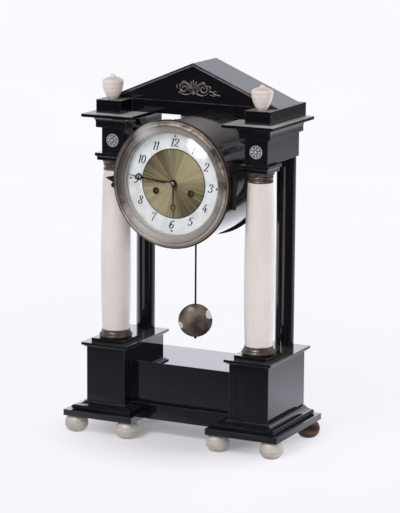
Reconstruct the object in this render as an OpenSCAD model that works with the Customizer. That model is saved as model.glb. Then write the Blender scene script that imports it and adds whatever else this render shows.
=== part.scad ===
// Portico mantel clock: ebonised case, alabaster columns, drum head with a striking pendulum movement.
// Frame: millimetres, +Z up, the dial faces -Y, origin on the floor under the middle of the clock.

/* [Base] */
// Largest diameter of a bun foot
foot_d = 29; // [22:0.5:32]
// Height of a foot
foot_h = 20.5; // [14:0.5:28]
// Distance from the slab edges to a foot's axis
foot_inset = 12; // [9:0.5:16]
// Width of one plinth slab
slab_w = 95; // [88:1:104]
// Depth of the plinth slabs, front to back
slab_depth = 131.6; // [125:0.2:136]
// Thickness of the plinth slabs
slab_t = 7.6; // [5:0.2:12]
// Height of the moulding on a slab
moulding_h = 9.6; // [8:0.2:13]
// Radius of the roll at the foot of that moulding
roll_r = 2.6; // [1.6:0.1:3]
// Width of a pedestal
box_w = 52; // [46:0.5:58]
// Depth of a pedestal
box_depth = 104.9; // [98:0.1:108]
// Height of a pedestal above its moulding
box_h = 69; // [58:1:84]
// Setback of the pedestal front behind the slab front
box_setback = 21.4; // [18:0.2:23]
// Overhang of the pedestal caps
cap_over = 5.2; // [3:0.2:5.2]
// Thickness of the pedestal caps
cap_t = 5.1; // [3:0.1:8]
// Height of the centre block between the pedestals
block_h = 70; // [56:1:80]
// Setback of the centre block behind the slab front
block_setback = 40.8; // [34:0.2:50]
// Height of the apron along the foot of the centre block
apron_h = 19.3; // [18:0.1:26]
// How far the apron stands proud of the centre block
apron_proud = 7; // [4:0.5:10]

/* [Columns] */
// Distance from the drum's rear ring to the rear columns' axes
column_gap = 18.8; // [16:0.1:24]
// Setback of the column axes behind the slab front
column_setback = 48.6; // [46:0.2:52]
// Width of the square socle under a column
socle_w = 44.4; // [41:0.2:48]
// Thickness of that socle
socle_t = 4.4; // [2:0.1:7]
// Diameter of the brass base ring
base_ring_d = 41; // [38:0.2:41]
// Height of the brass base ring
base_ring_h = 10.2; // [7:0.1:12]
// Diameter of the alabaster shaft at its belly
shaft_d = 36.6; // [35:0.1:37.5]
// Diameter of the shaft at its foot
shaft_foot_d = 33.6; // [31:0.1:34.6]
// Diameter of the shaft at its top
shaft_top_d = 30.2; // [28.5:0.1:33]
// Height of the shaft
shaft_h = 199; // [190:1:215]
// Largest diameter of the brass capital
capital_d = 34; // [32:0.1:35]
// Height of the brass capital
capital_h = 12.8; // [11:0.1:16]
// Width of the abacus on a capital
abacus_w = 38; // [36.6:0.2:40]
// Height of the abacus
abacus_h = 9; // [8:0.1:12]
// Diameter of the flat-backed rear columns
rear_column_d = 24; // [18:0.2:26]

/* [Entablature] */
// Width of an entablature block
frieze_w = 30; // [26:0.2:31]
// Height of an entablature block below its mouldings
frieze_h = 30.8; // [24:0.1:36]
// Depth of an entablature block
frieze_depth = 90; // [86:0.5:92]
// Setback of the blocks behind the slab front
frieze_setback = 38.1; // [36:0.1:42]
// Shift of the blocks from the column axes towards the middle
frieze_inset = 1.2; // [0:0.1:2]
// Projection of the bed mould
bed_over = 5.5; // [3:0.1:7]
// Height of the bed mould
bed_h = 6; // [4:0.1:8]
// Radius of the cove under the cornice
cove_r = 8; // [6:0.1:9]
// Thickness of the cornice plates
cornice_t = 3.8; // [2.4:0.1:6]
// Projection of a cornice plate in front of its block
cornice_front = 21.6; // [18:0.1:24]
// Projection of a cornice plate towards the middle
cornice_in = 20.4; // [18:0.1:22]
// Projection of a cornice plate to the outside
cornice_out = 16.7; // [16:0.1:22]
// Projection of a cornice plate behind its block
cornice_rear = 6.5; // [2:0.1:7]
// Height of the attic
attic_h = 16.2; // [12:0.1:22]
// Depth of the attic, front to back
attic_depth = 102.1; // [98:0.1:106]
// Setback of the attic wings behind the slab front
attic_setback = 33.4; // [30:0.1:36]
// Width of an attic wing
wing_w = 33.2; // [28:0.1:36]
// Shift of the wings from the column axes to the outside
wing_offset = 2.4; // [0:0.1:4]
// Setback of the beam behind the wing fronts
beam_setback = 31; // [26:0.5:36]
// How far the roof boards reach past the finials' axes
pediment_past = 14.6; // [8:0.1:16]
// Height of the pediment
pediment_rise = 48; // [40:0.5:60]
// Depth of the pediment under the roof boards
pediment_depth = 57.5; // [50:0.5:64]
// Thickness of the roof boards
roof_t = 4; // [3:0.1:6]
// How far the roof boards lap over the tympanum in front
roof_lap = 2.7; // [1:0.1:5]
// Height of an urn finial
finial_h = 30.5; // [26:0.1:36]
// Largest diameter of an urn finial
finial_d = 26; // [22:0.1:28]
// Distance from the wing front to a finial's axis
finial_setback = 12; // [11:0.1:14]
// Diameter of a rosette
rosette_d = 18; // [14:0.2:22]
// Half width of the scrolled mount in the tympanum
mount_reach = 36; // [30:0.5:40]

/* [Clock head] */
// Outer diameter of the drum
drum_d = 148.4; // [146:0.2:152]
// Length of the drum
drum_len = 96.6; // [91:0.1:100]
// Wall of the drum
drum_wall = 2.2; // [1.6:0.1:3]
// Setback of the drum's front edge behind the slab front
drum_setback = 14.2; // [13:0.1:16]
// How far the ring behind the drum stands proud of it
rear_ring_proud = 3.3; // [2.3:0.1:4.8]
// Length of that ring
rear_ring_len = 17; // [13:0.1:18]
// How far the bezel stands proud of the drum
bezel_proud = 3.8; // [3.2:0.1:4.8]
// Width of the bezel from its outer edge to its opening
bezel_w = 16.7; // [15.8:0.1:17.8]
// Depth of the bezel
bezel_depth = 13.3; // [12.8:0.1:13.8]
// Thickness of the glass
glass_t = 1.6; // [1.2:0.1:1.8]
// Height of the glass dome
glass_crown = 5.9; // [5.5:0.1:7]
// Width of the enamel ring that shows inside the bezel
chapter_w = 19; // [17:0.1:21]
// Distance of the winding holes from the middle of the dial
winding_x = 23.3; // [23.1:0.05:24]
// Drop of the winding holes below the middle of the dial
winding_drop = 10.3; // [9.5:0.1:11]
// Distance from the minute hand's tip to the bezel's opening
minute_short = 1.6; // [1.2:0.1:6]
// Distance from the hour hand's tip to the rim of the dial's centre
hour_short = 0.3; // [0:0.1:6]

/* [Movement] */
// Diameter of the movement plates
plate_d = 100; // [97:0.5:110]
// Thickness of the movement plates
plate_t = 2; // [1.6:0.1:2.6]
// Distance between the movement plates
pillar_len = 30; // [30:0.2:34]
// Length of the dial feet
dial_foot_len = 14.3; // [14.3:0.1:16.3]
// Distance from the pendulum's bending point down to the escape wheel's axis
anchor_drop = 14; // [13.6:0.1:14.6]
// Outer diameter of the escape wheel
escape_d = 21; // [19:0.1:21.6]
// Distance between the third arbor and the escape arbor
third_to_escape = 18; // [17.7:0.05:18.4]
// Diameter of the barrels
barrel_d = 40; // [34:0.5:42]
// Pendulum length from its bending point to the middle of the bob
pendulum_len = 217.8; // [200:0.2:225]
// Diameter of the pendulum rod
rod_d = 2.3; // [1.6:0.1:2.6]
// Diameter of the lens-shaped bob
bob_d = 42; // [34:0.5:46]
// Thickness of the bob
bob_t = 18; // [12:0.5:24]
// How far the bob has turned on its rod
bob_turn = 26; // [0:1:30]
// Greatest swing of the pendulum to each side, in degrees
swing = 4; // [2:0.5:5]
// Diameter of the bell
bell_d = 54; // [46:0.5:56]
// Depth of the bell
bell_h = 20; // [16:0.5:22]
// Clearance between pieces that move past each other
run_gap = 0.3; // [0.25:0.05:0.4]
// Radial clearance of a pivot in its hole
fit_gap = 0.06; // [0.04:0.01:0.09]

/* [Hidden] */
$fn = 96;

// Finish colours
black_wood = "#1d1c20";
alabaster = "#ded3cc";
brass = "#8a7a52";
old_brass = "#6e655a";
worn_brass = "#8a8378";
steel = "#3a3d46";
enamel = "#dcdce2";
silver = "#a9a8a6";

// Levels from the floor up
slab_top = foot_h + slab_t;
box_z = slab_top + moulding_h;
cap_z = box_z + box_h;
socle_z = cap_z + cap_t;
ring_z = socle_z + socle_t;
shaft_z = ring_z + base_ring_h;
capital_z = shaft_z + shaft_h;
abacus_z = capital_z + capital_h;
frieze_z = abacus_z + abacus_h;
bed_z = frieze_z + frieze_h;
cove_z = bed_z + bed_h;
cornice_z = cove_z + cove_r;
attic_z = cornice_z + cornice_t;
roof_z = attic_z + attic_h;

// Depths: the origin is midway between the front of the feet and the back of the attic
foot_proud = foot_d / 2 - foot_inset;
slab_front = foot_proud - (foot_proud + attic_setback + attic_depth) / 2;
slab_rear = slab_front + slab_depth;
box_front = slab_front + box_setback;
box_rear = box_front + box_depth;
block_front = slab_front + block_setback;
column_y = slab_front + column_setback;
frieze_front = slab_front + frieze_setback;
frieze_rear = frieze_front + frieze_depth;
attic_front = slab_front + attic_setback;
attic_rear = attic_front + attic_depth;
beam_front = attic_front + beam_setback;

// Sideways places of the right half, from the drum outwards
drum_r = drum_d / 2;
rear_ring_r = drum_r + rear_ring_proud;
column_x = rear_ring_r + column_gap + frieze_inset;
slab_in = column_x - slab_w / 2;
slab_out = column_x + slab_w / 2;
box_in = column_x - box_w / 2;
frieze_x = column_x - frieze_inset;
wing_x = column_x + wing_offset;
foot_xs = [slab_in + foot_inset, slab_out - foot_inset];
foot_ys = [slab_front + foot_inset, slab_rear - foot_inset];

// Clock head
seat_gap = 0.1;
cleat_half = 18;
cleat_edge = 2;
cleat_web = 0.6;
cleat_inset = 2;
cleat_housed = 1;
drum_z = attic_z - cleat_web - seat_gap - drum_r;
drum_front = slab_front + drum_setback;
drum_back = drum_front + drum_len;
ring_back = drum_back + rear_ring_len;
bezel_r = drum_r + bezel_proud;
opening_r = bezel_r - bezel_w;
bezel_back = drum_front - run_gap;
dial_plate_t = 1.7;
dial_t = 1.6;
dial_inset = 2;
dial_plate_back = drum_front + dial_inset;
dial_back = dial_plate_back - dial_plate_t;
dial_face = dial_back - dial_t;
dial_hidden = 4.2;
dial_ring_r = opening_r + dial_hidden;
dial_centre_d = 2 * (opening_r - chapter_w);
minute_len = opening_r - minute_short;
hour_len = dial_centre_d / 2 - hour_short;
hinge_pin_d = 2;
knuckle_d = 4.4;

// How far a cut runs past the face that it opens
over = 1;

// Arbors and pivots
arbor_d = 2.4;
pivot_d = 1.6;
winding_d = 4;
winding_pivot_d = 2.4;
cannon_d = 4;
hour_pipe_d = 5.6;
ratchet_r = 6.5;

// Tooth counts
great_teeth = 90;
centre_leaves = 12;
centre_teeth = 96;
fine_leaves = 8;
fine_teeth = 72;
cannon_leaves = 12;
minute_teeth = 36;
minute_leaves = 10;
hour_teeth = 40;
escape_teeth = 36;
ratchet_teeth = 18;

// Heights of a tooth above and below its pitch circle, in modules
wheel_add = 0.75;
pinion_add = 0.6;
tooth_root = 1.25;

// Movement: places in X and Z from the middle of the dial
barrel_to_pinion = norm([winding_x, winding_drop]);
going_at = [winding_x, -winding_drop];
strike_at = [-winding_x, -winding_drop];
centre_tip_r = barrel_to_pinion - winding_d / 2 - 3 * run_gap;
centre_m = centre_tip_r / (centre_teeth / 2 + wheel_add);
centre_to_third = centre_m * (centre_teeth + fine_leaves) / 2;
escape_at = [0, centre_tip_r + arbor_d / 2 + 2 * run_gap];
pivot_rise = escape_at.y + anchor_drop;
pivot_at = [0, pivot_rise];
third_up = (pow(centre_to_third, 2) - pow(third_to_escape, 2) + pow(escape_at.y, 2)) / (2 * escape_at.y);
third_at = [sqrt(pow(centre_to_third, 2) - pow(third_up, 2)), third_up];
pin_wheel_at = strike_at + [0, barrel_to_pinion];
fly_side = 80;
fly_at = pin_wheel_at + third_to_escape * [cos(fly_side), sin(fly_side)];
hammer_side = 43;
hammer_rise = 14;
hammer_at = [-hammer_side, hammer_rise];
minute_wheel_drop = 12;
minute_wheel_at = [0, -minute_wheel_drop];

// Movement: depths
centre_wheel_step = 3;
third_wheel_step = 2.8;
barrel_step = 2.7;
great_wheel_step = 5.5;
strike_step = 4;
escape_step = 15.5;
pendulum_behind = 8.7;
bell_behind = 7.3;
front_plate_front = dial_plate_back + dial_foot_len;
front_plate_back = front_plate_front + plate_t;
back_plate_front = front_plate_back + pillar_len;
back_plate_back = back_plate_front + plate_t;
pendulum_y = back_plate_back + pendulum_behind;
centre_wheel_y = front_plate_back + centre_wheel_step;
third_wheel_y = centre_wheel_y + third_wheel_step;
barrel_front = third_wheel_y + barrel_step;
great_wheel_y = back_plate_front - great_wheel_step;
strike_great_y = great_wheel_y - strike_step;
escape_wheel_y = front_plate_back + escape_step;
bell_mouth_y = pendulum_y + bell_behind;
wheel_t = 1.5;
thin_wheel_t = 1.2;
great_wheel_t = 2;
shake = 0.3;

// Shape helpers

// Both the right-hand child and its mirror image on the left
module both_sides() {
    children();
    mirror([1, 0, 0]) children();
}

// Solid between two depths from an outline in X and Z
module along_y(front, back) {
    translate([0, back, 0]) rotate([90, 0, 0]) linear_extrude(back - front) children();
}

// Solid between two X places from an outline in Y and Z
module along_x(left, right) {
    translate([left, 0, 0]) rotate([90, 0, 90]) linear_extrude(right - left) children();
}

// Solid turned about an axis along Y; the half section is radius and distance towards the front
module turned(at = [0, 0], y = 0) {
    translate([at.x, y, drum_z + at.y]) rotate([90, 0, 0]) rotate_extrude() children();
}

// Round bar along Y at a place given from the middle of the dial
module bar(at, front, back, d) {
    translate([at.x, back, drum_z + at.y]) rotate([90, 0, 0]) cylinder(d = d, h = back - front);
}

// Flat piece along Y, its outline given from the middle of the dial
module flat(front, back) {
    along_y(front, back) translate([0, drum_z]) children();
}

// Straight strip of one width between two points
module strip(p, q, w) {
    side = w / 2 * [p.y - q.y, q.x - p.x] / norm(q - p);
    polygon([p + side, p - side, q - side, q + side]);
}

// Tapered strip between two points
module taper(p, q, w_p, w_q) {
    side = [p.y - q.y, q.x - p.x] / norm(q - p) / 2;
    polygon([p + w_p * side, p - w_p * side, q - w_q * side, q + w_q * side]);
}

// Moulding mitred round the front and two sides of a block; the child is the edge section
module mitred_front(x0, x1, y0, y1) {
    intersection() {
        along_y(y0, y1) translate([x0, 0]) children();
        along_y(y0, y1) translate([x1, 0]) mirror([1, 0]) children();
        along_x(x0, x1) translate([y0, 0]) children();
    }
}

// Moulding mitred round all four sides of a block
module mitred_round(x0, x1, y0, y1) {
    intersection() {
        mitred_front(x0, x1, y0, y1) children();
        along_x(x0, x1) translate([y1, 0]) mirror([1, 0]) children();
    }
}

function polar(r, a) = r * [cos(a), sin(a)];
function heading(p, q) = atan2(q.y - p.y, q.x - p.x);
function gear_module(distance, a, b) = 2 * distance / (a + b);

// Outline of a wheel or pinion: six points to a tooth, the first tooth at the phase angle
function tooth_points(r, m, half, add, root_share) = [
    [r - tooth_root * m, -half * root_share],
    [r, -half],
    [r + add * m, -half * 0.45],
    [r + add * m, half * 0.45],
    [r, half],
    [r - tooth_root * m, half * root_share]
];
function gear_points(teeth, m, share, add, root_share, phase) = [
    for (k = [0:teeth - 1])
        for (p = tooth_points(teeth * m / 2, m, 180 / teeth * share, add, root_share))
            polar(p.x, p.y + phase + 360 * k / teeth)
];

// Wheel: many teeth, a tooth pointing along the phase angle
module wheel_outline(teeth, m, phase) {
    polygon(gear_points(teeth, m, 0.4, wheel_add, 1.2, phase));
}

// Pinion: few leaves with radial flanks, a gap pointing along the phase angle
module pinion_outline(leaves, m, phase) {
    polygon(gear_points(leaves, m, 0.36, pinion_add, 1, phase + 180 / leaves));
}

// Four crossings between rim and hub of a wheel
module crossings(rim_r, hub_r, arm_w) {
    difference() {
        circle(r = rim_r);
        circle(r = hub_r);
        square([2 * rim_r, arm_w], center = true);
        square([arm_w, 2 * rim_r], center = true);
    }
}

// Arbor between the plates with a pivot in each
module arbor(at) {
    bar(at, front_plate_back + shake, back_plate_front - shake, arbor_d);
    bar(at, front_plate_front, back_plate_back, pivot_d);
}

// Base

module foot(at) {
    side_r = foot_h * 0.56;
    translate([at.x, at.y, 0]) rotate_extrude() intersection() {
        translate([foot_d / 2 - side_r, foot_h / 2]) circle(r = side_r);
        square([foot_d, foot_h]);
    }
}

module feet_alabaster() {
    color(alabaster) for (x = foot_xs) for (y = foot_ys) {
        foot([-x, y]);
        if (x == foot_xs[0] || y == foot_ys[0]) foot([x, y]);
    }
}

module foot_wood() {
    color("#5b3b28") foot([foot_xs[1], foot_ys[1]]);
}

// Section of the plinth moulding from its outer edge inwards: roll, hollow slope and fillet
module plinth_edge() {
    roll_in = 7.2;
    run = slab_w + slab_depth;
    fillet_h = 1.4;
    fillet_w = 2.4;
    inset = (slab_w - box_w) / 2;
    hollow_in = roll_in + roll_r;
    hollow_end = inset - fillet_w;
    hollow_rise = moulding_h - fillet_h - 2 * roll_r;
    hollow_r = (pow(hollow_end - hollow_in, 2) + pow(hollow_rise, 2)) / (2 * hollow_rise);
    translate([hollow_in, roll_r]) circle(r = roll_r);
    difference() {
        translate([hollow_in, 0]) square([run, moulding_h - fillet_h]);
        translate([hollow_in, 2 * roll_r + hollow_r]) circle(r = hollow_r, $fn = 360);
    }
    translate([hollow_end, 0]) square([run, moulding_h]);
}

module plinth() {
    translate([slab_in, slab_front, foot_h]) cube([slab_w, slab_depth, slab_t]);
    difference() {
        translate([0, 0, slab_top]) mitred_front(slab_in, slab_out, slab_front, box_rear) plinth_edge();
        translate([0, block_front, slab_top]) cube([box_in, slab_depth, block_h]);
    }
}

module plinth_right() {
    color(black_wood) plinth();
}

module plinth_left() {
    color(black_wood) mirror([1, 0, 0]) plinth();
}

module pedestal() {
    translate([box_in, box_front, box_z]) cube([box_w, box_depth, box_h]);
}

module pedestal_right() {
    color(black_wood) pedestal();
}

module pedestal_left() {
    color(black_wood) mirror([1, 0, 0]) pedestal();
}

// Section of a cap: thin plate on a hollow
module cap_edge() {
    run = slab_w + slab_depth;
    hollow = cap_t * 0.35;
    translate([0, hollow]) square([run, cap_t - hollow]);
    difference() {
        square([run, hollow]);
        circle(r = cap_over / 2);
    }
}

module pedestal_caps() {
    color(black_wood) both_sides() translate([0, 0, cap_z]) mitred_round(
        box_in - cap_over, box_in + box_w + cap_over, box_front - cap_over, box_rear + cap_over
    ) cap_edge();
}

module base_block() {
    color(black_wood) {
        translate([-box_in, block_front, slab_top])
            cube([2 * box_in, slab_rear - block_front, foot_h + block_h - slab_top]);
        translate([-slab_in, block_front, foot_h]) cube([2 * slab_in, slab_rear - block_front, slab_t]);
    }
}

module base_apron() {
    color(black_wood) difference() {
        translate([-box_in, block_front - apron_proud, foot_h]) cube([2 * box_in, apron_proud, apron_h]);
        both_sides() {
            plinth();
            pedestal();
        }
    }
}

// Columns

module column_socles() {
    color(black_wood) both_sides()
        translate([column_x - socle_w / 2, column_y - socle_w / 2, socle_z])
            cube([socle_w, socle_w, socle_t]);
}

// Torus, hollow and collar round the foot of the shaft
module column_bases() {
    torus_h = base_ring_h * 0.5;
    collar_h = base_ring_h * 0.16;
    hollow_h = base_ring_h - torus_h - collar_h;
    collar_out = 0.6;
    hollow_out = 1.2;
    torus_r = base_ring_d / 2 - torus_h / 2;
    collar_r = shaft_foot_d / 2 + collar_out;
    color(old_brass) both_sides() translate([column_x, column_y, ring_z]) rotate_extrude() {
        translate([torus_r, torus_h / 2]) circle(d = torus_h);
        square([torus_r, torus_h]);
        difference() {
            translate([0, torus_h]) square([collar_r + hollow_out, hollow_h]);
            translate([collar_r + hollow_h, torus_h + hollow_h]) circle(r = hollow_h);
        }
        square([collar_r, base_ring_h]);
    }
}

// Shaft whose side follows one long arc through foot, belly and top, in short straight steps
module shaft() {
    steps = 16;
    swell = (shaft_d - shaft_foot_d) / 2;
    shrink = (shaft_d - shaft_top_d) / 2;
    belly_z = shaft_h / (1 + sqrt(shrink / swell));
    side_r = (pow(swell, 2) + pow(belly_z, 2)) / (2 * swell);
    side = [
        for (k = [0:steps])
            let (z = shaft_h * k / steps)
                [shaft_d / 2 - side_r + sqrt(pow(side_r, 2) - pow(z - belly_z, 2)), z]
    ];
    translate([column_x, column_y, shaft_z]) rotate_extrude() polygon(concat([[0, 0]], side, [[0, shaft_h]]));
}

module column_right() {
    color(alabaster) shaft();
}

module column_left() {
    color(alabaster) mirror([1, 0, 0]) shaft();
}

// Plain neck between two beads, swelling into a cushion under the abacus
module capitals() {
    neck_inset = 0.8;
    neck_r = shaft_top_d / 2 - neck_inset;
    bead = capital_h * 0.1;
    cushion_h = capital_h * 0.4;
    cushion_out = capital_d / 2 - neck_r;
    cushion_r = (pow(cushion_out, 2) + pow(cushion_h, 2)) / (2 * cushion_out);
    color(old_brass) both_sides() translate([column_x, column_y, capital_z]) rotate_extrude() {
        square([neck_r, capital_h]);
        for (z = [bead, capital_h - cushion_h - bead]) translate([neck_r, z]) circle(r = bead);
        intersection() {
            translate([capital_d / 2 - cushion_r, capital_h]) circle(r = cushion_r);
            translate([0, capital_h - cushion_h]) square([capital_d / 2, cushion_h]);
        }
    }
}

// Section of an abacus: fillet, hollow and plate
module abacus_edge() {
    run = 2 * abacus_w;
    hollow_r = (abacus_w - capital_d) / 2;
    plate_h = abacus_h * 0.43;
    translate([0, abacus_h - plate_h]) square([run, plate_h]);
    difference() {
        square([run, abacus_h - plate_h]);
        translate([0, abacus_h - plate_h - hollow_r]) circle(r = hollow_r);
        square([hollow_r, abacus_h - plate_h - hollow_r]);
    }
}

module abaci() {
    half = abacus_w / 2;
    color(black_wood) both_sides() translate([0, 0, abacus_z])
        mitred_round(column_x - half, column_x + half, column_y - half, column_y + half) abacus_edge();
}

// Round rear columns, flat at the back like the blocks above them
module rear_columns() {
    r = rear_column_d / 2;
    flat_back = r * 0.2;
    color(black_wood) both_sides() translate([frieze_x, frieze_rear - flat_back, socle_z]) intersection() {
        cylinder(r = r, h = frieze_z - socle_z);
        translate([-r, -r, 0]) cube([2 * r, r + flat_back, frieze_z - socle_z]);
    }
}

// Entablature

// Section from the edge of the cove inwards: cove over bed mould over frieze
module entablature_edge() {
    run = frieze_w + frieze_depth;
    translate([bed_over + cove_r, 0]) square([run, frieze_h]);
    translate([cove_r, frieze_h]) square([run, bed_h]);
    difference() {
        translate([0, frieze_h + bed_h]) square([run, cove_r]);
        translate([0, frieze_h + bed_h]) circle(r = cove_r);
    }
}

module entablature() {
    reach = bed_over + cove_r;
    left = frieze_x - frieze_w / 2 - reach;
    right = frieze_x + frieze_w / 2 + reach;
    translate([0, 0, frieze_z])
        mitred_front(left, right, frieze_front - reach, frieze_rear) entablature_edge();
}

module entablature_right() {
    color(black_wood) entablature();
}

module entablature_left() {
    color(black_wood) mirror([1, 0, 0]) entablature();
}

module cornices() {
    left = frieze_x - frieze_w / 2 - cornice_in;
    right = frieze_x + frieze_w / 2 + cornice_out;
    front = frieze_front - cornice_front;
    color("#4a464a") both_sides() translate([left, front, cornice_z])
        cube([right - left, frieze_rear + cornice_rear - front, cornice_t]);
}

// Two wings, the beam between them and the hollowed cleat that holds the drum
module attic() {
    seat_r = drum_r + seat_gap;
    cleat_h = cleat_web + seat_r - sqrt(pow(seat_r, 2) - pow(cleat_half - cleat_edge, 2));
    color(black_wood) {
        both_sides() translate([wing_x - wing_w / 2, attic_front, attic_z])
            cube([wing_w, attic_depth, attic_h]);
        translate([wing_w / 2 - wing_x, beam_front, attic_z])
            cube([2 * wing_x - wing_w, attic_rear - beam_front, attic_h]);
        difference() {
            translate([-cleat_half, beam_front + cleat_inset, attic_z - cleat_h])
                cube([2 * cleat_half, drum_back - beam_front - 2 * cleat_inset, cleat_h + cleat_housed]);
            bar([0, 0], drum_front, ring_back, 2 * seat_r);
        }
    }
}

// Pediment
pediment_half = wing_x + pediment_past;
roof_pitch = atan2(pediment_rise, pediment_half);
roof_drop = roof_t / cos(roof_pitch);
tympanum_inset = 0.5;
tympanum_y = beam_front + tympanum_inset;

module pediment() {
    half = pediment_half - roof_t / sin(roof_pitch);
    color(black_wood) along_y(tympanum_y, tympanum_y + pediment_depth) translate([0, roof_z])
        polygon([[-half, 0], [half, 0], [0, pediment_rise - roof_drop]]);
}

// One sloping board, cut level at the eaves and upright at the ridge
module roof() {
    eaves_w = roof_t / sin(roof_pitch);
    section = [
        [pediment_half, 0], [pediment_half - eaves_w, 0], [0, pediment_rise - roof_drop], [0, pediment_rise]
    ];
    front = tympanum_y - roof_lap;
    back = tympanum_y + pediment_depth + roof_lap;
    color(black_wood) along_y(front, back) translate([0, roof_z]) polygon(section);
}

module roof_right() {
    roof();
}

module roof_left() {
    mirror([1, 0, 0]) roof();
}

// Urn: side swelling from a narrow foot to the belly, shoulder, lid and knob
module urn() {
    belly_r = finial_d / 2;
    foot_r = belly_r * 0.38;
    belly_z = finial_h * 0.72;
    lid_z = finial_h * 0.82;
    lid_h = finial_h * 0.1;
    knob_r = finial_h * 0.125;
    side_x = (pow(belly_r, 2) - pow(foot_r, 2) - pow(belly_z, 2)) / (2 * (belly_r - foot_r));
    shoulder = lid_z - belly_z;
    lid_r = belly_r - shoulder;
    dome_r = (pow(lid_r, 2) + pow(lid_h, 2)) / (2 * lid_h);
    intersection() {
        translate([side_x, belly_z]) circle(r = belly_r - side_x);
        square([belly_r, belly_z]);
    }
    translate([0, belly_z]) square([lid_r, shoulder]);
    intersection() {
        translate([lid_r, belly_z]) circle(r = shoulder);
        translate([0, belly_z]) square([belly_r, shoulder]);
    }
    intersection() {
        translate([0, lid_z + lid_h - dome_r]) circle(r = dome_r);
        translate([0, lid_z]) square([lid_r, lid_h]);
    }
    intersection() {
        translate([0, finial_h - knob_r]) circle(r = knob_r);
        translate([0, lid_z]) square([knob_r, finial_h]);
    }
}

module finials() {
    color(alabaster) both_sides() translate([wing_x, attic_front + finial_setback, roof_z])
        rotate_extrude() urn();
}

// Eight petals round a boss, on a disc
module rosettes() {
    r = rosette_d / 2;
    petal_r = r * 0.3;
    disc_inset = 0.6;
    disc_t = 0.8;
    petal_t = 1.6;
    boss_t = 2.4;
    at = [frieze_x, frieze_z + frieze_h / 2];
    color(silver) both_sides() {
        along_y(frieze_front - disc_t, frieze_front) translate(at) circle(r = r - disc_inset);
        along_y(frieze_front - petal_t, frieze_front - disc_t) translate(at)
            for (a = [0:45:315]) translate(polar(r - petal_r, a)) circle(r = petal_r);
        along_y(frieze_front - boss_t, frieze_front - disc_t) translate(at) circle(r = r * 0.36);
    }
}

// Scroll of foliage: a shell, a volute on each side and the one tail that is left
module tympanum_mount() {
    sheet_t = 1.2;
    relief_t = 2.2;
    base_rise = 5;
    base_z = roof_z + base_rise;
    tail_w = 1.6;
    tail_rise = 1;
    rib_w = 1.4;
    rib_drop = 1;
    volute_r = mount_reach * 0.25;
    volute_x = mount_reach * 0.36;
    shell_r = mount_reach * 0.22;
    shell_z = mount_reach * 0.34;
    rib_foot = [0, shell_z - rib_drop];
    color(silver) {
        along_y(tympanum_y - sheet_t, tympanum_y) translate([0, base_z]) {
            for (side = [-1, 1]) translate([side * volute_x, volute_r]) circle(r = volute_r);
            translate([0, shell_z]) circle(r = shell_r);
            translate([-volute_x, 0]) square([2 * volute_x, volute_r]);
            taper([volute_x, volute_r * 0.5], [mount_reach, tail_rise], volute_r * 0.9, tail_w);
        }
        along_y(tympanum_y - relief_t, tympanum_y - sheet_t) translate([0, base_z]) {
            for (side = [-1, 1]) translate([side * volute_x, volute_r]) difference() {
                circle(r = volute_r * 0.8);
                circle(r = volute_r * 0.4);
            }
            for (a = [30:30:150]) strip(rib_foot, rib_foot + polar(shell_r, a), rib_w);
        }
    }
}

// Clock head

// Tube with an inner flange for the dial plate and a slot below for the pendulum
module drum() {
    flange_t = 4;
    flange_w = 6;
    flange_sink = 0.5;
    slot_clear = 1.5;
    slot_reach = 7;
    inner_r = drum_r - drum_wall;
    flange_r = dial_ring_r - flange_w;
    slot_half = (drum_r + pivot_rise) * tan(swing) + rod_d / 2 + slot_clear;
    slot_d = rod_d + slot_reach;
    color(black_wood) difference() {
        union() {
            turned(y = drum_back) difference() {
                square([drum_r, drum_len]);
                square([inner_r, drum_len]);
            }
            turned(y = dial_plate_back + flange_t) translate([flange_r, 0])
                square([inner_r + flange_sink - flange_r, flange_t]);
        }
        translate([-slot_half, pendulum_y - slot_d / 2, drum_z - drum_r - over])
            cube([2 * slot_half, slot_d, drum_r * 0.4]);
    }
}

// Wider ring at the back, flat under the attic, with the fixed knuckles and pin of the rear door
door_inset = 1.2;
door_r = drum_r - door_inset;
door_t = 2;
door_front = ring_back + run_gap;
door_side = 3.2;
door_step = 0.4;
door_axis = [-door_r - door_side, door_front + door_step + knuckle_d / 2];
door_knuckle_half = 5.5;
fixed_knuckle_h = 7;

module drum_rear_ring() {
    r = rear_ring_r;
    pin_grip = 2;
    color("#26211f") {
        difference() {
            turned(y = ring_back) difference() {
                square([r, rear_ring_len]);
                square([drum_r - drum_wall, rear_ring_len]);
            }
            translate([-r, drum_back - over, attic_z - run_gap]) cube([2 * r, rear_ring_len + 2 * over, r]);
        }
        for (z = [door_knuckle_half + run_gap, -door_knuckle_half - run_gap - fixed_knuckle_h])
            translate([door_axis.x, door_axis.y, drum_z + z]) {
                cylinder(d = knuckle_d, h = fixed_knuckle_h);
                translate([-knuckle_d / 2, ring_back - door_axis.y, 0])
                    cube([knuckle_d, door_axis.y - ring_back, fixed_knuckle_h]);
            }
        translate([door_axis.x, door_axis.y, drum_z - door_knuckle_half - pin_grip])
            cylinder(d = hinge_pin_d, h = 2 * (door_knuckle_half + pin_grip));
    }
}

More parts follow.
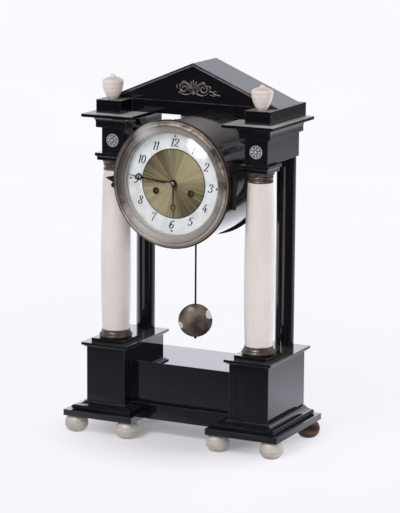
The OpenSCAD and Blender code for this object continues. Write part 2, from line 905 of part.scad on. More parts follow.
// Round door with its knuckle and a turned knob
module rear_door() {
    knob_inset = 12;
    knob_at = [door_r - knob_inset, 0];
    knob_len = 5;
    knob_d = 8;
    strap_w = 8;
    color("#2a2422") {
        difference() {
            union() {
                bar([0, 0], door_front, door_front + door_t, 2 * door_r);
                translate([door_axis.x, door_axis.y, drum_z - door_knuckle_half])
                    cylinder(d = knuckle_d, h = 2 * door_knuckle_half);
                translate([door_axis.x, door_front, drum_z - door_knuckle_half])
                    cube([strap_w, door_t, 2 * door_knuckle_half]);
            }
            translate([door_axis.x, door_axis.y, drum_z - door_knuckle_half - over])
                cylinder(d = hinge_pin_d + 2 * fit_gap, h = 2 * (door_knuckle_half + over));
        }
        turned(knob_at, door_front + door_t + knob_len) {
            square([knob_d / 4, knob_len]);
            translate([0, knob_d * 0.3]) intersection() {
                circle(d = knob_d * 0.6);
                square(knob_d, center = false);
            }
            square([knob_d / 2, knob_d * 0.3]);
        }
    }
}

// Bezel hinge on the right of the drum: leaf, two fixed knuckles and the pin
hinge_drop = 5;
hinge_half = 20;
hinge_step = 1.2;
hinge_axis = [bezel_r + run_gap + knuckle_d / 2, bezel_back - hinge_step];
bezel_knuckle_half = 9;

module bezel_hinge() {
    leaf_t = 1.5;
    leaf_depth = 9;
    leaf_bed = 4;
    pin_inset = 1;
    leaf_back = bezel_back + run_gap + leaf_depth;
    arm_front = bezel_back + run_gap;
    knuckle_h = hinge_half - bezel_knuckle_half - run_gap;
    color(old_brass) translate([0, 0, drum_z - hinge_drop]) {
        difference() {
            translate([drum_r - leaf_bed, arm_front, -hinge_half])
                cube([leaf_bed + leaf_t, leaf_depth, 2 * hinge_half]);
            translate([0, leaf_back, hinge_drop]) rotate([90, 0, 0])
                cylinder(d = drum_d + 2 * seat_gap, h = leaf_depth);
        }
        for (z = [-hinge_half, bezel_knuckle_half + run_gap]) {
            translate([drum_r, arm_front, z]) cube([hinge_axis.x - drum_r, leaf_t, knuckle_h]);
            translate([hinge_axis.x, hinge_axis.y, z]) cylinder(d = knuckle_d, h = knuckle_h);
        }
        translate([hinge_axis.x, hinge_axis.y, pin_inset - hinge_half])
            cylinder(d = hinge_pin_d, h = 2 * (hinge_half - pin_inset));
    }
}

// Ring section: outer bead, band, groove line and a bevel down to the glass
glass_hidden = 2.2;
glass_edge_r = opening_r + glass_hidden;
seat_drop = 6;
glass_seat = bezel_depth - seat_drop;
rim_drop = 5.9;
rim_y = bezel_back - bezel_depth + rim_drop;

// Turned section: side wall, bead at the rim, sloping band, groove, sight ring and the ledge under the glass
module bezel_section() {
    bead_r = 1.8;
    wall_in = 2.8;
    bevel_w = 9;
    bevel_drop = 2.7;
    groove_w = 1;
    groove_t = 0.7;
    rebate_gap = 1;
    rebate_t = 2;
    wall_r = bezel_r - wall_in;
    rim_r = bezel_r - bead_r;
    rim_h = bezel_depth - rim_drop;
    band_r = opening_r + bevel_w;
    rebate_w = dial_ring_r + rebate_gap - opening_r + over;
    seat_r = glass_edge_r + run_gap;
    difference() {
        polygon([
            [opening_r, 0], [wall_r, 0], [wall_r, rim_h], [rim_r, rim_h], [rim_r, rim_h + bead_r],
            [band_r + groove_w, bezel_depth], [band_r, bezel_depth - groove_t],
            [seat_r, bezel_depth - bevel_drop], [seat_r, glass_seat], [opening_r, glass_seat]
        ]);
        translate([opening_r - over, -over]) square([rebate_w, rebate_t + over]);
    }
    translate([rim_r, rim_h]) circle(r = bead_r);
}

// Bezel with its opening tab, the catch below the tab, and the moving knuckle of the hinge
module bezel() {
    tab_reach = 11;
    tab_t = 1.8;
    tab_half = 5;
    tab_tip = 1.5;
    tab_sink = 2;
    catch_drop = 7;
    catch_r = 3.2;
    catch_t = 2.4;
    catch_in = 0.2;
    lug_sink = 5;
    lug_t = 2.4;
    tab_root = tab_sink - bezel_r;
    knuckle_h = 2 * bezel_knuckle_half;
    knuckle_z = drum_z - hinge_drop - bezel_knuckle_half;
    color(worn_brass) difference() {
        union() {
            turned(y = bezel_back) bezel_section();
            flat(rim_y - tab_t / 2, rim_y + tab_t / 2)
                polygon([[tab_root, tab_half], [tab_root, -tab_half], [-bezel_r - tab_reach, tab_tip]]);
            turned([catch_in - bezel_r, -catch_drop], rim_y + catch_t / 2) square([catch_r, catch_t]);
            translate([hinge_axis.x, hinge_axis.y, knuckle_z]) cylinder(d = knuckle_d, h = knuckle_h);
            translate([bezel_r - lug_sink, hinge_axis.y - lug_t / 2, knuckle_z])
                cube([hinge_axis.x - bezel_r + lug_sink, lug_t, knuckle_h]);
        }
        translate([hinge_axis.x, hinge_axis.y, drum_z - hinge_drop - hinge_half])
            cylinder(d = hinge_pin_d + 2 * fit_gap, h = 2 * hinge_half);
    }
}

// Domed glass bedded on the bezel's ledge
module glass() {
    dome_r = (pow(glass_edge_r, 2) + pow(glass_crown, 2)) / (2 * glass_crown);
    putty_t = 0.1;
    crest = glass_seat + putty_t + glass_t + glass_crown;
    color("#cfd8dc", 0.3) turned(y = bezel_back) intersection() {
        square([glass_edge_r, 2 * bezel_depth + glass_crown]);
        difference() {
            translate([0, crest - dome_r]) circle(r = dome_r, $fn = 720);
            translate([0, crest - dome_r]) circle(r = dome_r - glass_t, $fn = 720);
        }
    }
}

// Dial

pipe_clear = 0.8;
dial_hole_d = hour_pipe_d + pipe_clear;
collet_d = 7;
dial_feet_r = 44;

module dial_plate() {
    plate_r = drum_r - drum_wall - run_gap;
    foot_post_d = 4;
    color(brass) {
        difference() {
            bar([0, 0], dial_back, dial_plate_back, 2 * plate_r);
            bar([0, 0], dial_back - over, dial_plate_back + over, dial_hole_d);
            for (at = [going_at, strike_at])
                bar(at, dial_back - over, dial_plate_back + over, collet_d + 2 * fit_gap);
        }
        for (a = [30, 150, 210, 330])
            bar(polar(dial_feet_r, a), dial_plate_back, front_plate_front, foot_post_d);
    }
}

module dial_ring() {
    color(enamel) difference() {
        bar([0, 0], dial_face, dial_back, 2 * dial_ring_r);
        bar([0, 0], dial_face - over, dial_back + over, dial_centre_d + 2 * fit_gap);
    }
}

module dial_centre() {
    color(brass) difference() {
        bar([0, 0], dial_face, dial_back, dial_centre_d);
        bar([0, 0], dial_face - over, dial_back + over, dial_hole_d);
        for (at = [going_at, strike_at]) bar(at, dial_face - over, dial_back + over, collet_d + 2 * fit_gap);
    }
}

// Flanged bushes round the winding squares
module winding_collets() {
    flange_w = 1.7;
    flange_d = collet_d + flange_w;
    flange_t = 0.3;
    bore_d = 5.7;
    color("#3b3128") for (at = [going_at, strike_at]) difference() {
        union() {
            bar(at, dial_face, dial_plate_back, collet_d);
            bar(at, dial_face - flange_t, dial_face, flange_d);
        }
        bar(at, dial_face - flange_t - over, dial_plate_back + over, bore_d);
    }
}

// Hand with a pierced ring near its tip, drawn upright
hand_t = 0.6;
hour_rise = 0.6;
minute_rise = 0.5;
hour_hand_y = dial_face - hour_rise;
minute_hand_y = hour_hand_y - hand_t - minute_rise;

module hand_outline(len, ring_at, ring_r, boss_r) {
    stem_w = 2.4;
    neck_w = 1.3;
    tip_w = 0.25;
    circle(r = boss_r);
    taper([0, 0], [0, ring_at - ring_r * 0.8], stem_w, neck_w);
    difference() {
        translate([0, ring_at]) circle(r = ring_r);
        translate([0, ring_at + ring_r * 0.12]) circle(r = ring_r * 0.62);
    }
    taper([0, ring_at + ring_r * 0.85], [0, len], neck_w, tip_w);
}

module minute_hand() {
    ring_r = 4.2;
    tip_len = 14;
    boss_r = 4.4;
    boss_t = 1.2;
    bore_end = 0.5;
    time_angle = 276.5;
    front = minute_hand_y - hand_t;
    color(steel) difference() {
        union() {
            flat(front, minute_hand_y) rotate(-time_angle)
                hand_outline(minute_len, minute_len - tip_len, ring_r, boss_r);
            bar([0, 0], front - boss_t, front, cannon_d);
        }
        bar([0, 0], front - boss_t + bore_end, minute_hand_y + over, arbor_d + 2 * fit_gap);
    }
}

module hour_hand() {
    ring_r = 3.7;
    tip_len = 13.5;
    boss_r = 5.2;
    time_angle = 180;
    front = hour_hand_y - hand_t;
    color(steel) difference() {
        flat(front, hour_hand_y) rotate(-time_angle)
            hand_outline(hour_len, hour_len - tip_len, ring_r, boss_r);
        bar([0, 0], front - over, hour_hand_y + over, cannon_d + 2 * fit_gap);
    }
}

// Motion work

cannon_step = 0.6;
minute_wheel_step = 1.6;
hour_wheel_step = 3.2;
cannon_back = front_plate_front - cannon_step;
minute_wheel_y = front_plate_front - minute_wheel_step;
hour_wheel_y = minute_wheel_y - hour_wheel_step;
motion_m = gear_module(minute_wheel_drop, cannon_leaves, minute_teeth);
hour_m = gear_module(minute_wheel_drop, minute_leaves, hour_teeth);

module cannon_pinion() {
    leaf_len = 3;
    color(steel) difference() {
        union() {
            bar([0, 0], minute_hand_y, cannon_back, cannon_d);
            flat(cannon_back - leaf_len, cannon_back)
                pinion_outline(cannon_leaves, motion_m, heading([0, 0], minute_wheel_at));
        }
        bar([0, 0], minute_hand_y - over, cannon_back + over, arbor_d + 2 * fit_gap);
    }
}

module hour_wheel() {
    color(brass) difference() {
        union() {
            bar([0, 0], hour_hand_y, hour_wheel_y, hour_pipe_d);
            flat(hour_wheel_y - wheel_t, hour_wheel_y)
                wheel_outline(hour_teeth, hour_m, heading([0, 0], minute_wheel_at));
        }
        bar([0, 0], hour_hand_y - over, hour_wheel_y + over, cannon_d + 2 * fit_gap);
    }
}

minute_stud_d = 2;
minute_pinion_back = minute_wheel_y - wheel_t;
minute_pinion_len = 3.6;
minute_pinion_front = minute_pinion_back - minute_pinion_len;
stud_proud = 0.4;

module minute_wheel() {
    color(brass) difference() {
        union() {
            flat(minute_wheel_y - wheel_t, minute_wheel_y) translate(minute_wheel_at)
                wheel_outline(minute_teeth, motion_m, heading(minute_wheel_at, [0, 0]));
            flat(minute_pinion_front, minute_pinion_back) translate(minute_wheel_at)
                pinion_outline(minute_leaves, hour_m, heading(minute_wheel_at, [0, 0]));
        }
        bar(minute_wheel_at, minute_pinion_front - over, front_plate_front, minute_stud_d + 2 * fit_gap);
    }
}

// Movement plates

train = [third_at, escape_at, pin_wheel_at, fly_at];

module front_plate() {
    color(brass) {
        difference() {
            bar([0, 0], front_plate_front, front_plate_back, plate_d);
            bar([0, 0], front_plate_front - over, front_plate_back + over, arbor_d + 2 * fit_gap);
            for (at = concat(train, [pivot_at, hammer_at]))
                bar(at, front_plate_front - over, front_plate_back + over, pivot_d + 2 * fit_gap);
            for (at = [going_at, strike_at])
                bar(at, front_plate_front - over, front_plate_back + over, winding_d + 2 * fit_gap);
        }
        bar(minute_wheel_at, minute_pinion_front - stud_proud, front_plate_front, minute_stud_d);
    }
}

// Plate with its four riveted pillars
pillar_d = 6;
pillar_inset = 5;
pillar_r = plate_d / 2 - pillar_inset;

module back_plate() {
    color(brass) {
        difference() {
            bar([0, 0], back_plate_front, back_plate_back, plate_d);
            for (at = concat(train, [[0, 0]]))
                bar(at, back_plate_front - over, back_plate_back + over, pivot_d + 2 * fit_gap);
            for (at = [pivot_at, hammer_at])
                bar(at, back_plate_front - over, back_plate_back + over, arbor_d + 2 * fit_gap);
            for (at = [going_at, strike_at])
                bar(at, back_plate_front - over, back_plate_back + over, winding_pivot_d + 2 * fit_gap);
        }
        for (a = [70, 110, 240, 300])
            bar(polar(pillar_r, a), front_plate_back, back_plate_front, pillar_d);
    }
}

// Barrel with its great wheel; the mainspring is closed inside
great_m = gear_module(barrel_to_pinion, great_teeth, centre_leaves);

module barrel(at, pinion_at, great_y) {
    color(brass) difference() {
        union() {
            bar(at, barrel_front, great_y, barrel_d);
            flat(great_y, great_y + great_wheel_t) translate(at)
                wheel_outline(great_teeth, great_m, heading(at, pinion_at));
        }
        bar(at, barrel_front - over, great_y + great_wheel_t + over, winding_d + 2 * fit_gap);
    }
}

module going_barrel() {
    barrel(going_at, [0, 0], great_wheel_y);
}

module strike_barrel() {
    barrel(strike_at, pin_wheel_at, strike_great_y);
}

// Winding arbor with ratchet and key square
module winding_arbor(at) {
    ratchet_t = 1.5;
    ratchet_h = 1.1;
    square_w = 3.6;
    square_inset = 0.6;
    ratchet_back = front_plate_front - shake;
    square_tip = dial_face + square_inset;
    color(steel) {
        bar(at, ratchet_back - ratchet_t, back_plate_front - shake, winding_d);
        bar(at, back_plate_front - shake, back_plate_back, winding_pivot_d);
        flat(ratchet_back - ratchet_t, ratchet_back) translate(at) polygon([
            for (k = [0:ratchet_teeth - 1])
                for (p = [[ratchet_r, 0], [ratchet_r - ratchet_h, 1]])
                    polar(p.x, 360 * (k + p.y) / ratchet_teeth)
        ]);
        flat(square_tip, ratchet_back - ratchet_t) translate(at) square(square_w, center = true);
    }
}

module going_arbor() {
    winding_arbor(going_at);
}

module strike_arbor() {
    winding_arbor(strike_at);
}

// Click lever beside each ratchet
module clicks() {
    click_t = 1.4;
    boss_d = 4.4;
    hub_out = 5.5;
    nose_out = 0.9;
    hub_w = 2.6;
    nose_w = 1;
    hub = polar(ratchet_r + hub_out, 55);
    nose = polar(ratchet_r + nose_out, 10);
    back = front_plate_front;
    color(steel) both_sides() flat(back - click_t, back) translate(going_at) {
        translate(hub) circle(d = boss_d);
        taper(hub, nose, hub_w, nose_w);
    }
}

// Going train

fine_m = gear_module(third_to_escape, fine_teeth, fine_leaves);
pinion_side = 0.5;
fine_rim_w = 2;
fine_hub_r = 3;
fine_arm_w = 2;

module centre_wheel() {
    rim_w = 2.4;
    hub_r = 4;
    arm_w = 2.6;
    color(brass) {
        arbor([0, 0]);
        bar([0, 0], minute_hand_y - hand_t, front_plate_back + shake, arbor_d);
        flat(centre_wheel_y, centre_wheel_y + wheel_t) difference() {
            wheel_outline(centre_teeth, centre_m, heading([0, 0], third_at));
            crossings(centre_teeth * centre_m / 2 - rim_w, hub_r, arm_w);
        }
        flat(great_wheel_y - pinion_side, great_wheel_y + great_wheel_t + pinion_side)
            pinion_outline(centre_leaves, great_m, heading([0, 0], going_at));
    }
}

module third_wheel() {
    color(brass) {
        arbor(third_at);
        flat(third_wheel_y, third_wheel_y + thin_wheel_t) translate(third_at) difference() {
            wheel_outline(fine_teeth, fine_m, heading(third_at, escape_at));
            crossings(fine_teeth * fine_m / 2 - fine_rim_w, fine_hub_r, fine_arm_w);
        }
        flat(centre_wheel_y - pinion_side, centre_wheel_y + wheel_t + pinion_side) translate(third_at)
            pinion_outline(fine_leaves, centre_m, heading(third_at, [0, 0]));
    }
}

// Pointed teeth raked forward
module escape_wheel() {
    r = escape_d / 2;
    tooth_h = r * 0.2;
    step = 360 / escape_teeth;
    rim_w = 1.4;
    hub_r = 2.6;
    arm_w = 1.4;
    color(brass) {
        arbor(escape_at);
        flat(escape_wheel_y, escape_wheel_y + thin_wheel_t) translate(escape_at) difference() {
            polygon([
                for (k = [0:escape_teeth - 1])
                    for (p = [[r, 0], [r - tooth_h, 0.12], [r - tooth_h, 0.6]]) polar(p.x, step * (k + p.y))
            ]);
            crossings(r - tooth_h - rim_w, hub_r, arm_w);
        }
        flat(third_wheel_y - pinion_side, third_wheel_y + thin_wheel_t + pinion_side) translate(escape_at)
            pinion_outline(fine_leaves, fine_m, heading(escape_at, third_at));
    }
}

anchor_hub_r = 2.2;

// Anchor over the escape wheel, and the crutch behind the back plate that steers the pendulum
module anchor() {
    nib_r = escape_d / 2 + run_gap + anchor_drop * 0.7 * sin(swing);
    nib_w = 1.5;
    nib_len = 3;
    nib_bed = 2;
    arm_w = 2.2;
    arm_side = 0.2;
    crutch_t = 1.5;
    crutch_behind = 4;
    crutch_drop = 2;
    fork_h = 3;
    crutch_y = back_plate_back + crutch_behind;
    crutch_len = pivot_rise + crutch_drop;
    prong_d = 1.5;
    prong_x = rod_d / 2 + run_gap + prong_d / 2;
    color(steel) {
        bar(pivot_at, front_plate_front, front_plate_back + shake, pivot_d);
        bar(pivot_at, front_plate_back + shake, crutch_y + crutch_t, arbor_d);
        flat(escape_wheel_y - arm_side, escape_wheel_y + thin_wheel_t + arm_side) {
            translate(pivot_at) circle(r = anchor_hub_r);
            for (a = [45, 135]) {
                strip(pivot_at, escape_at + polar(nib_r + nib_bed, a), arm_w);
                strip(escape_at + polar(nib_r, a), escape_at + polar(nib_r + nib_len, a), nib_w);
            }
        }
        flat(crutch_y, crutch_y + crutch_t) {
            translate(pivot_at) circle(r = anchor_hub_r);
            strip(pivot_at, pivot_at - [0, crutch_len], arm_w);
            translate(pivot_at - [0, crutch_len]) square([2 * prong_x + prong_d, fork_h], center = true);
        }
        for (side = [-1, 1])
            bar(pivot_at + [side * prong_x, -crutch_len], crutch_y + crutch_t, pendulum_y + rod_d, prong_d);
    }
}

// Pendulum

spring_t = 0.3;
spring_w = 5;
spring_grip = 3;
cock_drop = anchor_hub_r + 2 * run_gap;
cock_h = 6.2;

// Cock on the back plate, slit for the suspension spring
module suspension() {
    cock_w = 12;
    cock_wall = 2;
    cock_back = pendulum_y + spring_w / 2 + cock_wall;
    slit_half = spring_t / 2 + (cock_drop + spring_grip) * tan(swing) + run_gap;
    color(brass) difference() {
        translate([-cock_w / 2, back_plate_back, drum_z + pivot_rise + cock_drop])
            cube([cock_w, cock_back - back_plate_back, cock_h]);
        translate([-slit_half, pendulum_y - spring_w / 2 - run_gap, drum_z + pivot_rise + cock_drop - over])
            cube([2 * slit_half, spring_w + 2 * run_gap, spring_grip + 2 * over]);
    }
}

bob_z = drum_z + pivot_rise - pendulum_len;

// Suspension spring, its clamp, the rod and the rating nut under the bob
module pendulum() {
    clamp_z = 4;
    clamp_h = 8;
    clamp_w = 4;
    clamp_lap = 0.4;
    clamp_d = spring_w + clamp_lap;
    nut_h = 1.6;
    nut_d = 3.4;
    rod_bottom = bob_z - bob_d / 2 - nut_h;
    color(steel) {
        translate([-spring_t / 2, pendulum_y - spring_w / 2, drum_z + pivot_rise - clamp_z])
            cube([spring_t, spring_w, clamp_z + cock_drop + spring_grip]);
        translate([-clamp_w / 2, pendulum_y - clamp_d / 2, drum_z + pivot_rise - clamp_z - clamp_h])
            cube([clamp_w, clamp_d, clamp_h]);
        translate([0, pendulum_y, rod_bottom])
            cylinder(d = rod_d, h = drum_z + pivot_rise - clamp_z - clamp_h - rod_bottom);
        translate([0, pendulum_y, rod_bottom]) cylinder(d = nut_d, h = nut_h);
    }
}

// Lens of two shallow domes, bored for the rod
module pendulum_bob() {
    dome_r = (pow(bob_d / 2, 2) + pow(bob_t / 2, 2)) / bob_t;
    color("#54483c") translate([0, pendulum_y, bob_z]) rotate([0, 0, bob_turn]) difference() {
        intersection() {
            translate([0, dome_r - bob_t / 2, 0]) sphere(r = dome_r);
            translate([0, bob_t / 2 - dome_r, 0]) sphere(r = dome_r);
        }
        translate([0, 0, -bob_d]) cylinder(d = rod_d + 2 * fit_gap, h = 2 * bob_d);
    }
}

// Strike train

pin_circle_r = 13;
lift_pins = 10;
lift_pin_d = 1.2;
lift_pin_len = 1.1;
pin_rim_w = 4.4;

module strike_wheel() {
    wheel_back = third_wheel_y + thin_wheel_t;
    color(brass) {
        arbor(pin_wheel_at);
        flat(third_wheel_y, wheel_back) translate(pin_wheel_at) difference() {
            wheel_outline(fine_teeth, fine_m, heading(pin_wheel_at, fly_at));
            crossings(fine_teeth * fine_m / 2 - pin_rim_w, fine_hub_r, fine_arm_w);
        }
        flat(wheel_back, wheel_back + lift_pin_len) translate(pin_wheel_at)
            for (k = [0:lift_pins - 1])
                translate(polar(pin_circle_r, 360 * k / lift_pins)) circle(d = lift_pin_d);
        flat(strike_great_y - pinion_side, strike_great_y + great_wheel_t + pinion_side)
            translate(pin_wheel_at) pinion_outline(centre_leaves, great_m, heading(pin_wheel_at, strike_at));
    }
}

// Air brake: two vanes on a fast arbor
module fly() {
    vane_w = 13;
    vane_t = 0.8;
    vane_len = 12;
    vane_step = 5;
    vane_front = third_wheel_y + vane_step;
    color(brass) {
        arbor(fly_at);
        flat(vane_front, vane_front + vane_len) translate(fly_at) square([vane_w, vane_t], center = true);
        flat(third_wheel_y - pinion_side, third_wheel_y + thin_wheel_t + pinion_side) translate(fly_at)
            pinion_outline(fine_leaves, fine_m, heading(fly_at, pin_wheel_at));
    }
}

// Hammer on its arbor, with the tail that the pins lift
module hammer() {
    arm_len = 22;
    arm_w = 3;
    arm_t = 2;
    arm_top = 2;
    arm_behind = 1;
    arm_y = bell_mouth_y + arm_behind;
    boss_d = 5;
    head_d = 6;
    head_half = 3;
    head_at = hammer_at - [0, arm_len];
    head_tip = -bell_d / 2 - 2 * run_gap;
    tail_w = 2.4;
    tail_gap = 0.4;
    tail_y = third_wheel_y + thin_wheel_t + tail_gap;
    tail_tip = pin_wheel_at.x - pin_circle_r - lift_pin_d / 2 - 2 * run_gap;
    color(steel) {
        bar(hammer_at, front_plate_front, front_plate_back + shake, pivot_d);
        bar(hammer_at, front_plate_back + shake, arm_y + arm_t, arbor_d);
        flat(tail_y, tail_y + lift_pin_len - tail_gap) strip(hammer_at, [tail_tip, hammer_at.y], tail_w);
        flat(arm_y, arm_y + arm_t) {
            strip(hammer_at + [0, arm_top], head_at, arm_w);
            translate(hammer_at) circle(d = boss_d);
        }
        translate([head_at.x - head_half, arm_y + arm_t / 2, drum_z + head_at.y]) rotate([0, 90, 0])
            cylinder(d = head_d, h = head_tip - head_at.x + head_half);
    }
}

// Shallow bell, mouth towards the movement
bell_t = 2;
bell_bore_d = 4;

module bell() {
    dome_r = (pow(bell_d / 2, 2) + pow(bell_h, 2)) / (2 * bell_h);
    color("#b9a45f") translate([0, bell_mouth_y, drum_z]) rotate([-90, 0, 0]) rotate_extrude() difference() {
        translate([0, bell_h - dome_r]) circle(r = dome_r, $fn = 180);
        translate([0, bell_h - dome_r]) circle(r = dome_r - bell_t, $fn = 180);
        translate([-2 * dome_r, -2 * dome_r]) square([4 * dome_r, 2 * dome_r]);
        translate([-2 * dome_r, -2 * dome_r]) square([2 * dome_r, 4 * dome_r]);
        square([bell_bore_d / 2 + fit_gap, 2 * bell_h]);
    }
}

// Post on the back plate, arm round the bell and the stud through its crown
module bell_stand() {
    post_out = 5;
    post_drop = 8;
    post_at = [bell_d / 2 + post_out, -post_drop];
    post_d = 5;
    arm_t = 2;
    arm_w = 8;
    arm_y = bell_mouth_y + bell_h;
    nut_d = 8;
    nut_t = 2;
    nut_gap = 1;
    nut_back = arm_y - bell_t - nut_gap;
    color(brass) {
        bar(post_at, back_plate_back, arm_y, post_d);
        flat(arm_y, arm_y + arm_t) {
            strip(post_at, [0, 0], arm_w);
            translate(post_at) circle(d = arm_w);
            circle(d = arm_w);
        }
        bar([0, 0], nut_back, arm_y, bell_bore_d);
        bar([0, 0], nut_back - nut_t, nut_back, nut_d);
    }
}

feet_alabaster();
foot_wood();
plinth_left();
plinth_right();
pedestal_left();
pedestal_right();
pedestal_caps();
base_block();
base_apron();
column_socles();
column_bases();
column_left();
column_right();
capitals();
abaci();
rear_columns();
entablature_left();
entablature_right();
cornices();
attic();
pediment();
roof_left();
roof_right();
finials();
rosettes();
tympanum_mount();
drum();
drum_rear_ring();
rear_door();
bezel();
glass();
bezel_hinge();
dial_plate();
dial_ring();
dial_centre();
winding_collets();
minute_hand();
hour_hand();
cannon_pinion();
hour_wheel();
minute_wheel();
front_plate();
back_plate();
going_barrel();
going_arbor();
strike_barrel();
strike_arbor();
clicks();
centre_wheel();
third_wheel();
escape_wheel();
anchor();
suspension();
pendulum();
pendulum_bob();
strike_wheel();
fly();
hammer();
bell();
bell_stand();
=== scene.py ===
"""Dresses the portico mantel clock: finishes, dial, ornaments, light and camera, in metres in the CAD frame."""

import logging
import math
from dataclasses import dataclass
from enum import Enum

import bmesh
import bpy
from bmesh.types import BMesh
from bpy.types import ID, Material, Mesh, NodeOutputs, NodeSocket, NodeTree, Object
from mathutils import Matrix, Vector


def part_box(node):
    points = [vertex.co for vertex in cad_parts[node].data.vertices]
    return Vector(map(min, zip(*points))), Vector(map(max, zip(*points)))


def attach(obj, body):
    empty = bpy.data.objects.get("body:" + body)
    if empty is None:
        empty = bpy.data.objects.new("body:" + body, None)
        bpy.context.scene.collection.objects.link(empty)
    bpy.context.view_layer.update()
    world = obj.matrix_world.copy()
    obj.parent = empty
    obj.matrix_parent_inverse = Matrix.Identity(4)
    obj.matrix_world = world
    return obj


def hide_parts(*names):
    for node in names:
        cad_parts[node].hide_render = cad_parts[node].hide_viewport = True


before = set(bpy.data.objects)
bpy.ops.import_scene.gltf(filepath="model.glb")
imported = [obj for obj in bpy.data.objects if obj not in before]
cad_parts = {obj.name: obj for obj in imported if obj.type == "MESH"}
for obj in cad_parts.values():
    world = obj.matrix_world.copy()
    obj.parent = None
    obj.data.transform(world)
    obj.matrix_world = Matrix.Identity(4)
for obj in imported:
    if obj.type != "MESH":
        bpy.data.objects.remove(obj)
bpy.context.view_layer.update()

LOG = logging.getLogger("mantel_clock")
MM = 0.001
CASE = "case"
DIAL_Z = 320.9 * MM
Point = tuple[float, float]
Place = tuple[float, float, float]
Rows = tuple[tuple, ...]


def linear(tone: str) -> tuple[float, float, float, float]:
    """Turns an sRGB hex colour into linear light.

    Args:
        tone: colour written as #rrggbb.

    Returns:
        Red, green, blue and an alpha of one.
    """
    parts = [int(tone[k:k + 2], 16) / 255 for k in (1, 3, 5)]
    light = [c / 12.92 if c <= 0.04045 else ((c + 0.055) / 1.055) ** 2.4 for c in parts]
    return (light[0], light[1], light[2], 1.0)


def add(
    tree: NodeTree, kind: str, links: dict | None = None, out: int | str | None = 0, stops: Rows = (), **settings
) -> NodeSocket | NodeOutputs:
    """Adds one node to a shader tree or a geometry tree.

    Args:
        tree: tree that takes the node.
        kind: type name of the node.
        links: for each input, by name or number, a value or the output that feeds it.
        out: output that is wanted back, by name or number; None for all of them.
        stops: place and hex colour of each stop, for a colour ramp.
        settings: properties of the node, set before its inputs.

    Returns:
        The wanted output, or all outputs by name.
    """
    node = tree.nodes.new(kind)
    for name, value in settings.items():
        setattr(node, name, value)
    if stops:
        ramp = node.color_ramp.elements
        ramp.remove(ramp[1])
        ramp[0].position, ramp[0].color = stops[0][0], linear(stops[0][1])
        for place, tone in stops[1:]:
            ramp.new(place).color = linear(tone)
    for key, value in (links or {}).items():
        if isinstance(value, NodeSocket):
            tree.links.new(value, node.inputs[key])
        else:
            node.inputs[key].default_value = value
    return node.outputs if out is None else node.outputs[out]


class Grain(Enum):
    """Which way the grain of a wooden piece runs: cells of the pattern to the metre along X, Y and Z."""

    ACROSS = (22.0, 420.0, 420.0)
    DEEP = (420.0, 22.0, 420.0)
    UPRIGHT = (420.0, 420.0, 22.0)


class Facing(Enum):
    """Which way a flat ornament looks; the matrix turns its local Z to that side."""

    FRONT = Matrix.Rotation(math.pi / 2, 4, "X")
    REAR = Matrix.Rotation(-math.pi / 2, 4, "X")
    RIGHT = Matrix.Rotation(math.pi / 2, 4, "Y")

    def at(self, *place: float) -> Matrix:
        """Returns the matrix that turns an ornament and takes it to its place."""
        return Matrix.Translation(place) @ self.value


@dataclass(frozen=True)
class Finish:
    """A surface finish; each kind paints its own nodes."""

    name: str

    def material(self) -> Material:
        """Makes the material of this finish, the first time it is asked for.

        Returns:
            The material.
        """
        known = bpy.data.materials.get(self.name)
        if known:
            return known
        made = bpy.data.materials.new(self.name)
        made.use_nodes = True
        tree = made.node_tree
        tree.nodes.clear()
        add(tree, "ShaderNodeOutputMaterial", {"Surface": self.paint(tree)}, out=None)
        return made

    def paint(self, tree: NodeTree) -> NodeSocket:
        """Returns the shader of this finish."""
        raise NotImplementedError


